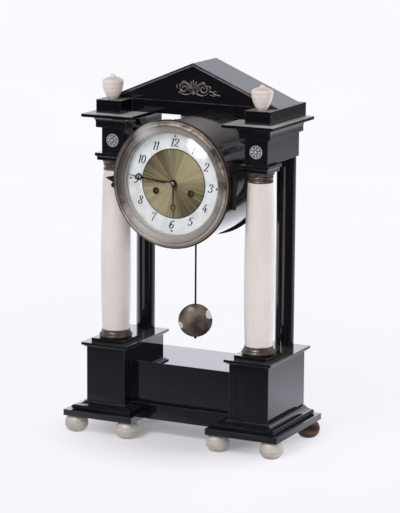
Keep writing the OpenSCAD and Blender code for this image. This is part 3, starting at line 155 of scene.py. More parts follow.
@dataclass(frozen=True)
class EbonisedWood(Finish):
    """Pear or beech stained black and polished with shellac.

    The polish mirrors the room softly, the grain shows as faint streaks in the gloss, the sharp edges are painted grey
    for handling wear and also as the highlight that they catch, and the ledges of the upper mouldings are painted pale
    for dusting, on the cornices also as the reflection that they catch.
    """

    grain: Grain = Grain.ACROSS
    black: str = "#09080c"
    streak: str = "#131217"
    rubbed: str = "#7d7c83"
    gloss: Point = (0.03, 0.1)
    coat: float = 1.0
    ior: float = 1.5
    dust: float = 0.0
    dust_tone: str = "#8f8b84"
    dust_rough: float = 0.6
    rub: float = 0.75
    rub_mm: float = 0.9
    cloud_mm: float = 38.0
    grain_mm: float = 0.04

    def paint(self, tree: NodeTree) -> NodeSocket:
        """Makes polish over streaked black stain, worn along the edges.

        Args:
            tree: node tree of the material.

        Returns:
            The shader.
        """
        place = add(tree, "ShaderNodeTexCoord", out="Object")
        along = add(tree, "ShaderNodeMapping", {"Vector": place, "Scale": self.grain.value})
        streaks = add(tree, "ShaderNodeTexNoise", {"Vector": along, "Scale": 1.0, "Detail": 4.0, "Roughness": 0.6})
        cloud = add(tree, "ShaderNodeTexNoise", {"Vector": place, "Scale": 1 / (self.cloud_mm * MM), "Detail": 4.0})
        stain = add(tree, "ShaderNodeValToRGB", {0: streaks}, stops=((0.35, self.black), (0.72, self.streak)))
        # Edges painted pale grey: handling wear, and a painted highlight along them
        rounded = add(tree, "ShaderNodeBevel", {"Radius": self.rub_mm * MM}, samples=6)
        flat = add(tree, "ShaderNodeNewGeometry", out="Normal")
        bend = add(tree, "ShaderNodeVectorMath", {0: rounded, 1: flat}, out="Value", operation="DOT_PRODUCT")
        edge = add(tree, "ShaderNodeMapRange", {0: bend, 1: 0.995, 2: 0.8, 3: 0.0, 4: self.rub})
        spots = add(tree, "ShaderNodeMapRange", {0: cloud, 1: 0.38, 2: 0.62, 3: 0.15, 4: 1.0})
        rub = add(tree, "ShaderNodeMath", {0: edge, 1: spots}, operation="MULTIPLY")
        worn = add(tree, "ShaderNodeMix", {0: rub, 6: stain, 7: linear(self.rubbed)}, out=2, data_type="RGBA")
        # Up-facing ledges painted pale: dusting, and where strong, the sheen and reflection of the light from above
        up = add(tree, "ShaderNodeSeparateXYZ", {0: flat}, out="Z")
        ledge = add(tree, "ShaderNodeMapRange", {0: up, 1: 0.6, 2: 0.95, 3: 0.0, 4: self.dust})
        thick = add(tree, "ShaderNodeMapRange", {0: cloud, 1: 0.3, 2: 0.6, 3: 0.7, 4: 1.0})
        dust_and_sheen_cover = add(tree, "ShaderNodeMath", {0: ledge, 1: thick}, operation="MULTIPLY")
        colour = add(tree, "ShaderNodeMix", {0: dust_and_sheen_cover, 6: worn, 7: linear(self.dust_tone)}, out=2, data_type="RGBA")
        polish = add(tree, "ShaderNodeMapRange", {0: streaks, 1: 0.35, 2: 0.7, 3: self.gloss[0], 4: self.gloss[1]})
        rough = add(tree, "ShaderNodeMix", {0: dust_and_sheen_cover, 2: polish, 3: self.dust_rough}, data_type="FLOAT")
        bump = add(tree, "ShaderNodeBump", {
            "Strength": 0.12, "Distance": self.grain_mm * MM, "Height": streaks, "Normal": rounded,
        })
        return add(tree, "ShaderNodeBsdfPrincipled", {
            "Base Color": colour, "Roughness": rough, "Normal": bump, "IOR": self.ior,
            "Coat Weight": self.coat, "Coat Roughness": 0.02, "Coat IOR": 1.6,
        })


@dataclass(frozen=True)
class BrownWood(Finish):
    """Plain turned wood, oiled: a replacement foot whose brown grain shows."""

    dark: str = "#3d2a20"
    pale: str = "#6b4a35"
    grain_mm: float = 1.6

    def paint(self, tree: NodeTree) -> NodeSocket:
        """Makes brown rings in a satin surface.

        Args:
            tree: node tree of the material.

        Returns:
            The shader.
        """
        place = add(tree, "ShaderNodeTexCoord", out="Object")
        wave = add(tree, "ShaderNodeTexWave", {
            "Vector": place, "Scale": 0.05 / (self.grain_mm * MM), "Distortion": 6.0, "Detail": 3.0,
        }, bands_direction="Z")
        tone = add(tree, "ShaderNodeValToRGB", {0: wave}, stops=((0.1, self.dark), (0.9, self.pale)))
        bump = add(tree, "ShaderNodeBump", {"Strength": 0.2, "Distance": 0.08 * MM, "Height": wave})
        return add(tree, "ShaderNodeBsdfPrincipled", {
            "Base Color": tone, "Roughness": 0.42, "Normal": bump, "IOR": 1.5,
        })


@dataclass(frozen=True)
class Alabaster(Finish):
    """Turned and waxed gypsum stone.

    Light enters a few millimetres, so edges glow. Soft clouds and a few hair veins run through it, and
    small pieces show the lines of their turning as faint level bands.
    """

    body: str = "#eae3df"
    cloud: str = "#e0d8d3"
    vein: str = "#cdbfb6"
    cloud_mm: float = 42.0
    stretch: float = 0.35
    bands: float = 0.0
    band_mm: float = 5.5
    glow_mm: float = 4.0

    def paint(self, tree: NodeTree) -> NodeSocket:
        """Makes clouded stone with veins, lit a little from within.

        Args:
            tree: node tree of the material.

        Returns:
            The shader.
        """
        place = add(tree, "ShaderNodeTexCoord", out="Object")
        along = add(tree, "ShaderNodeMapping", {
            "Vector": place, "Rotation": (0.25, 0.3, 0.0), "Scale": (1.0, 1.0, self.stretch),
        })
        soft = add(tree, "ShaderNodeTexNoise", {
            "Vector": along, "Scale": 1 / (self.cloud_mm * MM), "Detail": 5.0, "Roughness": 0.55, "Distortion": 0.4,
        })
        tone = add(tree, "ShaderNodeValToRGB", {0: soft}, stops=((0.38, self.cloud), (0.6, self.body)))
        lines = add(tree, "ShaderNodeTexNoise", {
            "Vector": along, "Scale": 0.6 / (self.cloud_mm * MM), "Detail": 3.0, "Distortion": 1.4,
        })
        off = add(tree, "ShaderNodeMath", {0: lines, 1: 0.5}, operation="SUBTRACT")
        near = add(tree, "ShaderNodeMath", {0: off}, operation="ABSOLUTE")
        hair = add(tree, "ShaderNodeMapRange", {0: near, 1: 0.0, 2: 0.01, 3: 0.22, 4: 0.0})
        veined = add(tree, "ShaderNodeMix", {0: hair, 6: tone, 7: linear(self.vein)}, out=2, data_type="RGBA")
        level = add(tree, "ShaderNodeTexWave", {
            "Vector": place, "Scale": 0.31 / (self.band_mm * MM), "Distortion": 1.6, "Detail": 2.0,
            "Detail Scale": 0.6,
        }, out=1, bands_direction="Z")
        line = add(tree, "ShaderNodeMath", {0: level, 1: self.bands}, operation="MULTIPLY")
        colour = add(tree, "ShaderNodeMix", {0: line, 6: veined, 7: linear(self.vein)}, out=2, data_type="RGBA")
        rough = add(tree, "ShaderNodeMapRange", {0: soft, 1: 0.3, 2: 0.7, 3: 0.42, 4: 0.28})
        bump = add(tree, "ShaderNodeBump", {"Strength": 0.1, "Distance": 0.1 * MM, "Height": soft})
        return add(tree, "ShaderNodeBsdfPrincipled", {
            "Base Color": colour, "Roughness": rough, "Normal": bump, "IOR": 1.52,
            "Subsurface Weight": 0.25, "Subsurface Radius": (1.0, 0.8, 0.65), "Subsurface Scale": self.glow_mm * MM,
        })


@dataclass(frozen=True)
class AgedMetal(Finish):
    """Cast, turned or rolled metal with tarnish in patches, and painted shade in its hollows over the tarnish that
    gathers there.
    """

    bright: str = "#b09a62"
    tarnish: str = "#6f5f40"
    recess: str = "#2b241c"
    patch_mm: float = 9.0
    spread: Point = (0.4, 0.62)
    metallic: float = 0.75
    rough: Point = (0.24, 0.46)
    recess_mm: float = 1.2
    shade: Point = (0.75, 0.3)
    grit_mm: float = 0.9

    def paint(self, tree: NodeTree) -> NodeSocket:
        """Makes metal whose colour and gloss follow the same patches.

        Args:
            tree: node tree of the material.

        Returns:
            The shader.
        """
        place = add(tree, "ShaderNodeTexCoord", out="Object")
        patches = add(tree, "ShaderNodeTexNoise", {
            "Vector": place, "Scale": 1 / (self.patch_mm * MM), "Detail": 6.0, "Roughness": 0.62,
        })
        tone = add(tree, "ShaderNodeValToRGB", {0: patches}, stops=(
            (self.spread[0], self.tarnish), (self.spread[1], self.bright),
        ))
        # Hollows darkened by ambient occlusion: painted shade, over the tarnish that gathers there
        open_air = add(tree, "ShaderNodeAmbientOcclusion", {"Distance": self.recess_mm * MM}, out="AO", samples=6)
        painted_recess_shade = add(tree, "ShaderNodeMapRange", {0: open_air, 1: self.shade[0], 2: self.shade[1], 3: 0.0, 4: 0.92})
        colour = add(tree, "ShaderNodeMix", {0: painted_recess_shade, 6: tone, 7: linear(self.recess)}, out=2, data_type="RGBA")
        rough = add(tree, "ShaderNodeMapRange", {
            0: patches, 1: self.spread[0], 2: self.spread[1], 3: self.rough[1], 4: self.rough[0],
        })
        fine = add(tree, "ShaderNodeTexNoise", {"Vector": place, "Scale": 1 / (self.grit_mm * MM), "Detail": 2.0})
        bump = add(tree, "ShaderNodeBump", {"Strength": 0.12, "Distance": 0.05 * MM, "Height": fine})
        return add(tree, "ShaderNodeBsdfPrincipled", {
            "Base Color": colour, "Metallic": self.metallic, "Roughness": rough, "Normal": bump,
        })


@dataclass(frozen=True)
class RoundFinish(Finish):
    """A finish that runs in rings or rays about the dial's axis."""

    axis_z: float = DIAL_Z

    def about_axis(self, tree: NodeTree) -> tuple[NodeSocket, NodeOutputs, NodeSocket, NodeSocket]:
        """Measures from the dial's axis.

        Args:
            tree: node tree of the material.

        Returns:
            The point, its coordinates from the axis, the point laid flat there, and its radius.
        """
        place = add(tree, "ShaderNodeTexCoord", out="Object")
        middle = add(tree, "ShaderNodeVectorMath", {0: place, 1: (0, 0, self.axis_z)}, operation="SUBTRACT")
        axes = add(tree, "ShaderNodeSeparateXYZ", {0: middle}, out=None)
        flat = add(tree, "ShaderNodeVectorMath", {0: middle, 1: (1, 0, 1)}, operation="MULTIPLY")
        radius = add(tree, "ShaderNodeVectorMath", {0: flat}, out="Value", operation="LENGTH")
        return place, axes, flat, radius


@dataclass(frozen=True)
class WornBezel(RoundFinish):
    """Spun brass ring whose gilding has worn to grey and brown.

    A pale bevel next the glass, its inner wall painted pale against the shade that falls there, a dark line, a brown
    mottled band, a pale line painted as a highlight and a dark rim follow the radius. Stain patches are combined with
    painted light and shade by place: darker at the left, lighter low down and on the upper bevel, with a pale patch
    painted as glare at the upper left, standing also for worn-through metal.
    """

    inner: float = 61 * MM
    outer: float = 78 * MM
    bare: Place = (-31 * MM, 0, 59 * MM)
    bare_r: Point = (4 * MM, 20 * MM)
    bare_tone: str = "#dbd8d7"
    patch_mm: float = 16.0
    line_mm: float = 0.6
    metallic: float = 0.35
    # Colours by share of the radius: the pale inner wall is painted light against the shade that falls there, and the
    # pale line at 0.85 is a painted highlight
    clean: tuple[tuple[float, str], ...] = (
        (0.02, "#c2bfba"), (0.17, "#a6a19b"), (0.48, "#9a948d"), (0.55, "#7d746c"), (0.6, "#7b7168"),
        (0.64, "#c8beb4"), (0.75, "#bdb1a7"), (0.8, "#5c5046"), (0.85, "#b8ac9f"), (0.89, "#73665a"), (0.94, "#2c241d"),
    )
    stained: tuple[tuple[float, str], ...] = (
        (0.02, "#a9a5a0"), (0.14, "#8d8781"), (0.27, "#5f544b"), (0.48, "#594d44"), (0.56, "#463a31"),
        (0.64, "#4a3d33"), (0.76, "#43372e"), (0.8, "#2f261f"), (0.85, "#726457"), (0.93, "#241d17"),
    )

    def paint(self, tree: NodeTree) -> NodeSocket:
        """Makes rings of colour about the dial's axis, mottled and finely turned.

        Args:
            tree: node tree of the material.

        Returns:
            The shader.
        """
        place, axes, flat, radius = self.about_axis(tree)
        r = self.outer
        share = add(tree, "ShaderNodeMapRange", {0: radius, 1: self.inner, 2: r, 3: 0.0, 4: 1.0})
        clean = add(tree, "ShaderNodeValToRGB", {0: share}, stops=self.clean)
        stained = add(tree, "ShaderNodeValToRGB", {0: share}, stops=self.stained)
        patches = add(tree, "ShaderNodeTexNoise", {
            "Vector": place, "Scale": 1 / (self.patch_mm * MM), "Detail": 6.0, "Roughness": 0.6,
        })
        # Painted light and shade by place on the ring: lighter low down, darker at the left, and the inner bevel
        # lighter at the top
        upper = add(tree, "ShaderNodeMapRange", {0: axes["Z"], 1: -0.75 * r, 2: 0.1 * r, 3: -0.3, 4: 0.12})
        left = add(tree, "ShaderNodeMapRange", {0: axes["X"], 1: -r, 2: -0.45 * r, 3: 0.36, 4: 0.0})
        high = add(tree, "ShaderNodeMapRange", {0: axes["Z"], 1: 0.35 * r, 2: 0.75 * r, 3: 0.0, 4: -0.3})
        bevel = add(tree, "ShaderNodeMapRange", {0: share, 1: 0.5, 2: 0.58, 3: 1.0, 4: 0.2})
        top = add(tree, "ShaderNodeMath", {0: high, 1: bevel}, operation="MULTIPLY")
        sides = add(tree, "ShaderNodeMath", {0: upper, 1: left})
        painted_shade_by_place = add(tree, "ShaderNodeMath", {0: sides, 1: top})
        stain_and_painted_shade = add(tree, "ShaderNodeMath", {0: patches, 1: painted_shade_by_place})
        amount = add(tree, "ShaderNodeMapRange", {0: stain_and_painted_shade, 1: 0.4, 2: 0.68, 3: 0.0, 4: 1.0})
        aged = add(tree, "ShaderNodeMix", {0: amount, 6: clean, 7: stained}, out=2, data_type="RGBA")
        # A pale patch painted at the upper left as glare, standing also for worn-through metal
        off = add(tree, "ShaderNodeVectorMath", {0: flat, 1: self.bare}, out="Value", operation="DISTANCE")
        rubbed = add(tree, "ShaderNodeMapRange", {0: off, 1: self.bare_r[0], 2: self.bare_r[1], 3: 0.85, 4: 0.0})
        colour = add(tree, "ShaderNodeMix", {0: rubbed, 6: aged, 7: linear(self.bare_tone)}, out=2, data_type="RGBA")
        rough = add(tree, "ShaderNodeMapRange", {0: patches, 1: 0.35, 2: 0.65, 3: 0.3, 4: 0.5})
        # Turning lines about 0.1 mm apart on the real ring, drawn wider apart so that they show
        lines = add(tree, "ShaderNodeMath", {0: radius, 1: math.tau / (self.line_mm * MM)}, operation="MULTIPLY")
        turned = add(tree, "ShaderNodeMath", {0: lines}, operation="SINE")
        bump = add(tree, "ShaderNodeBump", {"Strength": 0.1, "Distance": 0.02 * MM, "Height": turned})
        return add(tree, "ShaderNodeBsdfPrincipled", {
            "Base Color": colour, "Metallic": self.metallic, "Roughness": rough, "Normal": bump,
        })


@dataclass(frozen=True)
class SunrayBrass(RoundFinish):
    """Engine-turned gilt sheet: pleats fan out from the middle; their light and dark as they turn is painted in the
    colour, ray by ray and in two broad highlights.
    """

    bright: str = "#e0cda6"
    mid: str = "#ab9a7a"
    dull: str = "#665840"
    dark: str = "#3a3024"
    lobe: float = 0.15
    speck_mm: float = 1.2
    rim: Point = (40.6 * MM, 41.6 * MM)

    def paint(self, tree: NodeTree) -> NodeSocket:
        """Makes brass whose tone changes from ray to ray about the dial's axis, a painted play of light on the pleats.

        Args:
            tree: node tree of the material.

        Returns:
            The shader.
        """
        place, axes, _, radius = self.about_axis(tree)
        # Painted highlights: a tone that changes from ray to ray, and two broad bright arcs at half past one and half
        # past seven
        angle = add(tree, "ShaderNodeMath", {0: axes["Z"], 1: axes["X"]}, operation="ARCTAN2")
        turn = add(tree, "ShaderNodeCombineXYZ", {0: angle})
        broad = add(tree, "ShaderNodeTexNoise", {"Vector": turn, "Scale": 5.0, "Detail": 6.0, "Roughness": 0.85})
        double = add(tree, "ShaderNodeMath", {0: angle, 1: 2.0}, operation="MULTIPLY")
        painted_highlights = add(tree, "ShaderNodeMath", {0: double}, operation="SINE")
        painted_flash = add(tree, "ShaderNodeMath", {0: painted_highlights, 1: self.lobe, 2: broad}, operation="MULTIPLY_ADD")
        tone = add(tree, "ShaderNodeValToRGB", {0: painted_flash}, stops=(
            (0.36, self.dull), (0.5, self.mid), (0.63, self.bright),
        ))
        specks = add(tree, "ShaderNodeTexNoise", {"Vector": place, "Scale": 1 / (self.speck_mm * MM), "Detail": 3.0})
        aged = add(tree, "ShaderNodeMapRange", {0: specks, 1: 0.55, 2: 0.75, 3: 0.0, 4: 0.5})
        speckled = add(tree, "ShaderNodeMix", {0: aged, 6: tone, 7: linear(self.dull)}, out=2, data_type="RGBA")
        rim = add(tree, "ShaderNodeMapRange", {0: radius, 1: self.rim[0], 2: self.rim[1], 3: 0.0, 4: 0.85})
        colour = add(tree, "ShaderNodeMix", {0: rim, 6: speckled, 7: linear(self.dark)}, out=2, data_type="RGBA")
        return add(tree, "ShaderNodeBsdfPrincipled", {"Base Color": colour, "Metallic": 0.6, "Roughness": 0.34})


@dataclass(frozen=True)
class Lacquer(Finish):
    """Japanned sheet iron gone brownish grey: a glossy coat with small rubs that mirrors the floor, dusty on top, and
    its top painted pale also as the sheen of the light from above.
    """

    black: str = "#211f1f"
    brown: str = "#2f2b29"
    dust: str = "#bdb9b7"
    rough: Point = (0.06, 0.13)
    rub_mm: float = 22.0
    grit_mm: float = 1.1

    def paint(self, tree: NodeTree) -> NodeSocket:
        """Makes a brown-black coat with uneven gloss.

        Args:
            tree: node tree of the material.

        Returns:
            The shader.
        """
        place = add(tree, "ShaderNodeTexCoord", out="Object")
        rubs = add(tree, "ShaderNodeTexNoise", {
            "Vector": place, "Scale": 1 / (self.rub_mm * MM), "Detail": 6.0, "Roughness": 0.65,
        })
        tone = add(tree, "ShaderNodeValToRGB", {0: rubs}, stops=((0.4, self.black), (0.66, self.brown)))
        # Up-facing top painted pale: dusting, and the sheen of the light from above
        up = add(tree, "ShaderNodeNewGeometry", out="Normal")
        upward = add(tree, "ShaderNodeSeparateXYZ", {0: up}, out="Z")
        dust_and_sheen_cover = add(tree, "ShaderNodeMapRange", {0: upward, 1: 0.62, 2: 1.0, 3: 0.0, 4: 0.95})
        dust_and_sheen_colour = add(tree, "ShaderNodeMix", {0: dust_and_sheen_cover, 6: tone, 7: linear(self.dust)}, out=2, data_type="RGBA")
        rough = add(tree, "ShaderNodeMapRange", {0: rubs, 1: 0.35, 2: 0.65, 3: self.rough[0], 4: self.rough[1]})
        grit = add(tree, "ShaderNodeTexNoise", {"Vector": place, "Scale": 1 / (self.grit_mm * MM), "Detail": 2.0})
        bump = add(tree, "ShaderNodeBump", {"Strength": 0.1, "Distance": 0.05 * MM, "Height": grit})
        return add(tree, "ShaderNodeBsdfPrincipled", {
            "Base Color": dust_and_sheen_colour, "Roughness": rough, "Normal": bump, "IOR": 1.4, "Coat Weight": 1.0,
            "Coat Roughness": 0.03, "Coat IOR": 1.5,
        })


@dataclass(frozen=True)
class Enamel(Finish):
    """Fired white glass on copper: cool white and glossy, faintly grey in soft patches."""

    white: str = "#f3f2f4"
    grey: str = "#e2e0e3"
    patch_mm: float = 14.0

    def paint(self, tree: NodeTree) -> NodeSocket:
        """Makes clean glossy enamel with faint unevenness.

        Args:
            tree: node tree of the material.

        Returns:
            The shader.
        """
        place = add(tree, "ShaderNodeTexCoord", out="Object")
        mottle = add(tree, "ShaderNodeTexNoise", {"Vector": place, "Scale": 1 / (self.patch_mm * MM), "Detail": 5.0})
        tone = add(tree, "ShaderNodeValToRGB", {0: mottle}, stops=((0.36, self.grey), (0.58, self.white)))
        bump = add(tree, "ShaderNodeBump", {"Strength": 0.05, "Distance": 0.1 * MM, "Height": mottle})
        return add(tree, "ShaderNodeBsdfPrincipled", {
            "Base Color": tone, "Roughness": 0.16, "Normal": bump, "IOR": 1.52, "Coat Weight": 0.3,
        })


@dataclass(frozen=True)
class ChippedBronze(Finish):
    """Bronzed lens of the pendulum: dark brown-grey skin, chipped to pale metal at two places on its rim."""

    skin: str = "#48413e"
    worn: str = "#8c7b6d"
    chip: str = "#e8e8e4"
    chips: tuple[tuple[Place, float], ...] = (
        ((14.8 * MM, 13.5 * MM, 149.0 * MM), 6.0 * MM),
        ((-15.4 * MM, -0.9 * MM, 136.1 * MM), 4.8 * MM),
    )
    wear_mm: float = 18.0
    ragged_mm: float = 3.0

    def paint(self, tree: NodeTree) -> NodeSocket:
        """Makes bronzing with soft wear and ragged pale chips.

        Args:
            tree: node tree of the material.

        Returns:
            The shader.
        """
        place = add(tree, "ShaderNodeTexCoord", out="Object")
        wear = add(tree, "ShaderNodeTexNoise", {
            "Vector": place, "Scale": 1 / (self.wear_mm * MM), "Detail": 4.0, "Roughness": 0.5,
        })
        tone = add(tree, "ShaderNodeValToRGB", {0: wear}, stops=((0.4, self.skin), (0.68, self.worn)))
        ragged = add(tree, "ShaderNodeTexNoise", {"Vector": place, "Scale": 1 / (self.ragged_mm * MM), "Detail": 4.0})
        for middle, r in self.chips:
            away = add(tree, "ShaderNodeVectorMath", {0: place, 1: middle}, out="Value", operation="DISTANCE")
            rim = add(tree, "ShaderNodeMath", {0: ragged, 1: 0.7 * r, 2: away}, operation="MULTIPLY_ADD")
            gone = add(tree, "ShaderNodeMapRange", {0: rim, 1: 1.35 * r, 2: 1.25 * r, 3: 0.0, 4: 1.0})
            tone = add(tree, "ShaderNodeMix", {0: gone, 6: tone, 7: linear(self.chip)}, out=2, data_type="RGBA")
        bump = add(tree, "ShaderNodeBump", {"Strength": 0.15, "Distance": 0.1 * MM, "Height": ragged})
        return add(tree, "ShaderNodeBsdfPrincipled", {
            "Base Color": tone, "Metallic": 0.3, "Roughness": 0.36, "Normal": bump,
        })


@dataclass(frozen=True)
class DialPaint(Finish):
    """Black fired paint of the numerals, thin at the hairlines and a little uneven."""

    black: str = "#1f1f25"
    thin: str = "#3a3a42"
    cover_mm: float = 1.6

    def paint(self, tree: NodeTree) -> NodeSocket:
        """Makes near-black paint with uneven cover.

        Args:
            tree: node tree of the material.

        Returns:
            The shader.
        """
        place = add(tree, "ShaderNodeTexCoord", out="Object")
        cover = add(tree, "ShaderNodeTexNoise", {"Vector": place, "Scale": 1 / (self.cover_mm * MM), "Detail": 3.0})
        tone = add(tree, "ShaderNodeValToRGB", {0: cover}, stops=((0.42, self.black), (0.62, self.thin)))
        return add(tree, "ShaderNodeBsdfPrincipled", {"Base Color": tone, "Roughness": 0.4, "IOR": 1.5})


@dataclass(frozen=True)
class WindowGlass(Finish):
    """Blown and ground clock glass: clear, with a broad reflection and the faintest green."""

    tint: str = "#fbfdfc"
    ripple_mm: float = 30.0

    def paint(self, tree: NodeTree) -> NodeSocket:
        """Makes clear glass that lets the lamps through to the dial.

        Args:
            tree: node tree of the material.

        Returns:
            The shader.
        """
        shadow = add(tree, "ShaderNodeLightPath", out="Is Shadow Ray")
        scatter = add(tree, "ShaderNodeLightPath", out="Is Diffuse Ray")
        clear = add(tree, "ShaderNodeMath", {0: shadow, 1: scatter}, operation="MAXIMUM")
        place = add(tree, "ShaderNodeTexCoord", out="Object")
        ripple = add(tree, "ShaderNodeTexNoise", {"Vector": place, "Scale": 1 / (self.ripple_mm * MM), "Detail": 1.0})
        bump = add(tree, "ShaderNodeBump", {"Strength": 0.03, "Distance": 0.2 * MM, "Height": ripple})
        glass = add(tree, "ShaderNodeBsdfPrincipled", {
            "Base Color": linear(self.tint), "Roughness": 0.0, "IOR": 1.5, "Transmission Weight": 1.0, "Normal": bump,
        })
        through = add(tree, "ShaderNodeBsdfTransparent", {"Color": linear(self.tint)})
        return add(tree, "ShaderNodeMixShader", {0: clear, 1: glass, 2: through})


@dataclass(frozen=True)
class PaperSweep(Finish):
    """White studio paper: white to the eye and in reflections; about the clock its white is dimmed by distance, a
    painted shadow pool in which the real soft shadow shows.

    Each pair of distances in metres says where one change of its brightness begins and ends.
    """

    white: str = "#fbfafe"
    mirror: str = "#f3f2ff"
    paper: str = "#f2f1f6"
    keep: float = 0.88
    shadow: float = 0.22
    pool: Point = (0.35, 0.95)
    under: Point = (0.08, 0.18)
    front: Point = (-0.36, -0.1)
    side: Point = (0.2, 0.55)
    wide: Point = (1.5, 2.8)
    rear: Point = (0.25, 0.45)
    rise: Point = (0.1, 1.0)

    def paint(self, tree: NodeTree) -> NodeSocket:
        """Makes matt paper, white to the camera and glass; polish sees it white behind and dim in front.

        Args:
            tree: node tree of the material.

        Returns:
            The shader.
        """
        seen = add(tree, "ShaderNodeLightPath", out="Is Camera Ray")
        mirrored = add(tree, "ShaderNodeLightPath", out="Is Glossy Ray")
        passed = add(tree, "ShaderNodeLightPath", out="Is Transmission Ray")
        place = add(tree, "ShaderNodeTexCoord", out="Object")
        axes = add(tree, "ShaderNodeSeparateXYZ", {0: place}, out=None)
        away = add(tree, "ShaderNodeVectorMath", {0: place}, out="Value", operation="LENGTH")
        # The camera and glass see white paper, dimmed by distance about the clock as a painted shadow pool in which the
        # clock's real shadow shows
        round_it = add(tree, "ShaderNodeMapRange", {0: away, 1: self.pool[0], 2: self.pool[1], 3: self.keep, 4: 1.0})
        painted_shadow_pool = add(tree, "ShaderNodeMapRange", {0: away, 1: self.under[0], 2: self.under[1], 3: self.shadow, 4: 1.0})
        near = add(tree, "ShaderNodeMath", {0: round_it, 1: painted_shadow_pool}, operation="MULTIPLY")
        direct = add(tree, "ShaderNodeMath", {0: seen, 1: passed}, operation="MAXIMUM")
        plain = add(tree, "ShaderNodeMath", {0: direct, 1: near}, operation="MULTIPLY")
        share = add(tree, "ShaderNodeMath", {0: plain, 1: mirrored}, operation="MAXIMUM")
        # Polish sees it dim in front, falling off to the right and a little brighter behind
        low, high = self.front
        dim = add(tree, "ShaderNodeMapRange", {0: axes["Y"], 1: low, 2: high, 3: 0.04, 4: 0.16})
        lit = add(tree, "ShaderNodeMapRange", {0: axes["Y"], 1: high, 2: -high, 3: 0.0, 4: 0.84})
        both = add(tree, "ShaderNodeMath", {0: dim, 1: lit})
        least = add(tree, "ShaderNodeMapRange", {0: axes["Z"], 1: self.rise[0], 2: self.rise[1], 3: 0.4, 4: 0.62})
        edge = add(tree, "ShaderNodeMapRange", {0: axes["X"], 1: self.side[0], 2: self.side[1], 3: 1.0, 4: least})
        far = add(tree, "ShaderNodeMapRange", {0: axes["X"], 1: self.wide[0], 2: self.wide[1], 3: 1.0, 4: 0.05})
        fall = add(tree, "ShaderNodeMath", {0: edge, 1: far}, operation="MULTIPLY")
        rear = add(tree, "ShaderNodeMapRange", {0: axes["Y"], 1: self.rear[0], 2: self.rear[1], 3: 1.0, 4: 1.22})
        fading = add(tree, "ShaderNodeMath", {0: both, 1: fall}, operation="MULTIPLY")
        shine = add(tree, "ShaderNodeMath", {0: fading, 1: rear}, operation="MULTIPLY")
        grit = add(tree, "ShaderNodeTexNoise", {"Vector": place, "Scale": 3.0, "Detail": 2.0})
        even = add(tree, "ShaderNodeMapRange", {0: grit, 1: 0.3, 2: 0.7, 3: 0.98, 4: 1.0})
        level = add(tree, "ShaderNodeMix", {0: mirrored, 2: even, 3: shine}, data_type="FLOAT")
        tint = add(tree, "ShaderNodeMix", {
            0: mirrored, 6: linear(self.white), 7: linear(self.mirror),
        }, out=2, data_type="RGBA")
        white = add(tree, "ShaderNodeEmission", {"Color": tint, "Strength": level})
        matt = add(tree, "ShaderNodeBsdfDiffuse", {"Color": linear(self.paper)})
        face = add(tree, "ShaderNodeMixShader", {0: share, 1: matt, 2: white})
        # Seen from behind it is clear, so that it never hides the clock
        behind = add(tree, "ShaderNodeNewGeometry", out="Backfacing")
        clear = add(tree, "ShaderNodeBsdfTransparent")
        return add(tree, "ShaderNodeMixShader", {0: behind, 1: face, 2: clear})


@dataclass(frozen=True)
class SoftGlow(Finish):
    """White window light that fades out towards the edges of its card."""

    strength: float = 9.0
    fade: Point = (0.5, 0.95)

    def paint(self, tree: NodeTree) -> NodeSocket:
        """Makes light that is strongest in the middle.

        Args:
            tree: node tree of the material.

        Returns:
            The shader.
        """
        place = add(tree, "ShaderNodeTexCoord", out="Object")
        away = add(tree, "ShaderNodeVectorMath", {0: place}, out="Value", operation="LENGTH")
        level = add(tree, "ShaderNodeMapRange", {
            0: away, 1: self.fade[0], 2: self.fade[1], 3: self.strength, 4: 0.0,
        }, interpolation_type="SMOOTHSTEP")
        return add(tree, "ShaderNodeEmission", {"Color": linear("#ffffff"), "Strength": level})


# Black polish: plain boards, upright boards a little greyer, plinths dulled by handling
BLACK_ACROSS = EbonisedWood("ebonised_wood_across")
BLACK_UPRIGHT = EbonisedWood("ebonised_wood_upright", Grain.UPRIGHT, "#0c0b11", "#1b1a22")
BLACK_PLINTH = EbonisedWood("ebonised_wood_plinth", Grain.ACROSS, "#131219", "#26252d")
# Base block and pedestal caps, polished so well that they mirror pendulum and columns
BLACK_MIRROR = EbonisedWood("ebonised_wood_mirror", gloss=(0.01, 0.05), ior=1.8)
BLACK_CAPS = EbonisedWood("ebonised_wood_caps", gloss=(0.01, 0.05), ior=1.8, dust=0.24)
# High boards whose tops are grey and dusty, the cornice tops painted paler as the reflection that they catch, and the
# beads of the roof, painted pale grey as the reflection that they catch
DUSTY_ACROSS = EbonisedWood("ebonised_wood_dusty_across", coat=0.15, dust=0.8)
DUSTY_SHEEN_DEEP = EbonisedWood("ebonised_wood_dusty_sheen_deep", Grain.DEEP, coat=0.15, dust=0.92, dust_tone="#cfccc8")
SHEEN_BLACK = EbonisedWood("ebonised_wood_painted_sheen", Grain.ACROSS, "#55535a", "#727077", coat=0.3)
# Cream columns with soft clouds; feet and urns are smaller, greyer or pinker, and show their turning
CREAM_STONE = Alabaster("alabaster_columns", "#e1dad5", "#d7d0ca")
FOOT_STONE = Alabaster("alabaster_feet", "#cbc4bc", "#beb5ab", "#a99c8f", 16.0, 0.8, 0.28)
FINIAL_STONE = Alabaster("alabaster_finials", "#e2d8d1", "#d6cac3", "#c0b0a5", 20.0, 0.8, 0.25)
# Brown-grey patina on the bases and capitals
PATINA_BRASS = AgedMetal(
    "patinated_brass_mounts", "#857a6b", "#544b43", "#211c18", 7.0, (0.38, 0.64), 0.6, (0.3, 0.5)
)
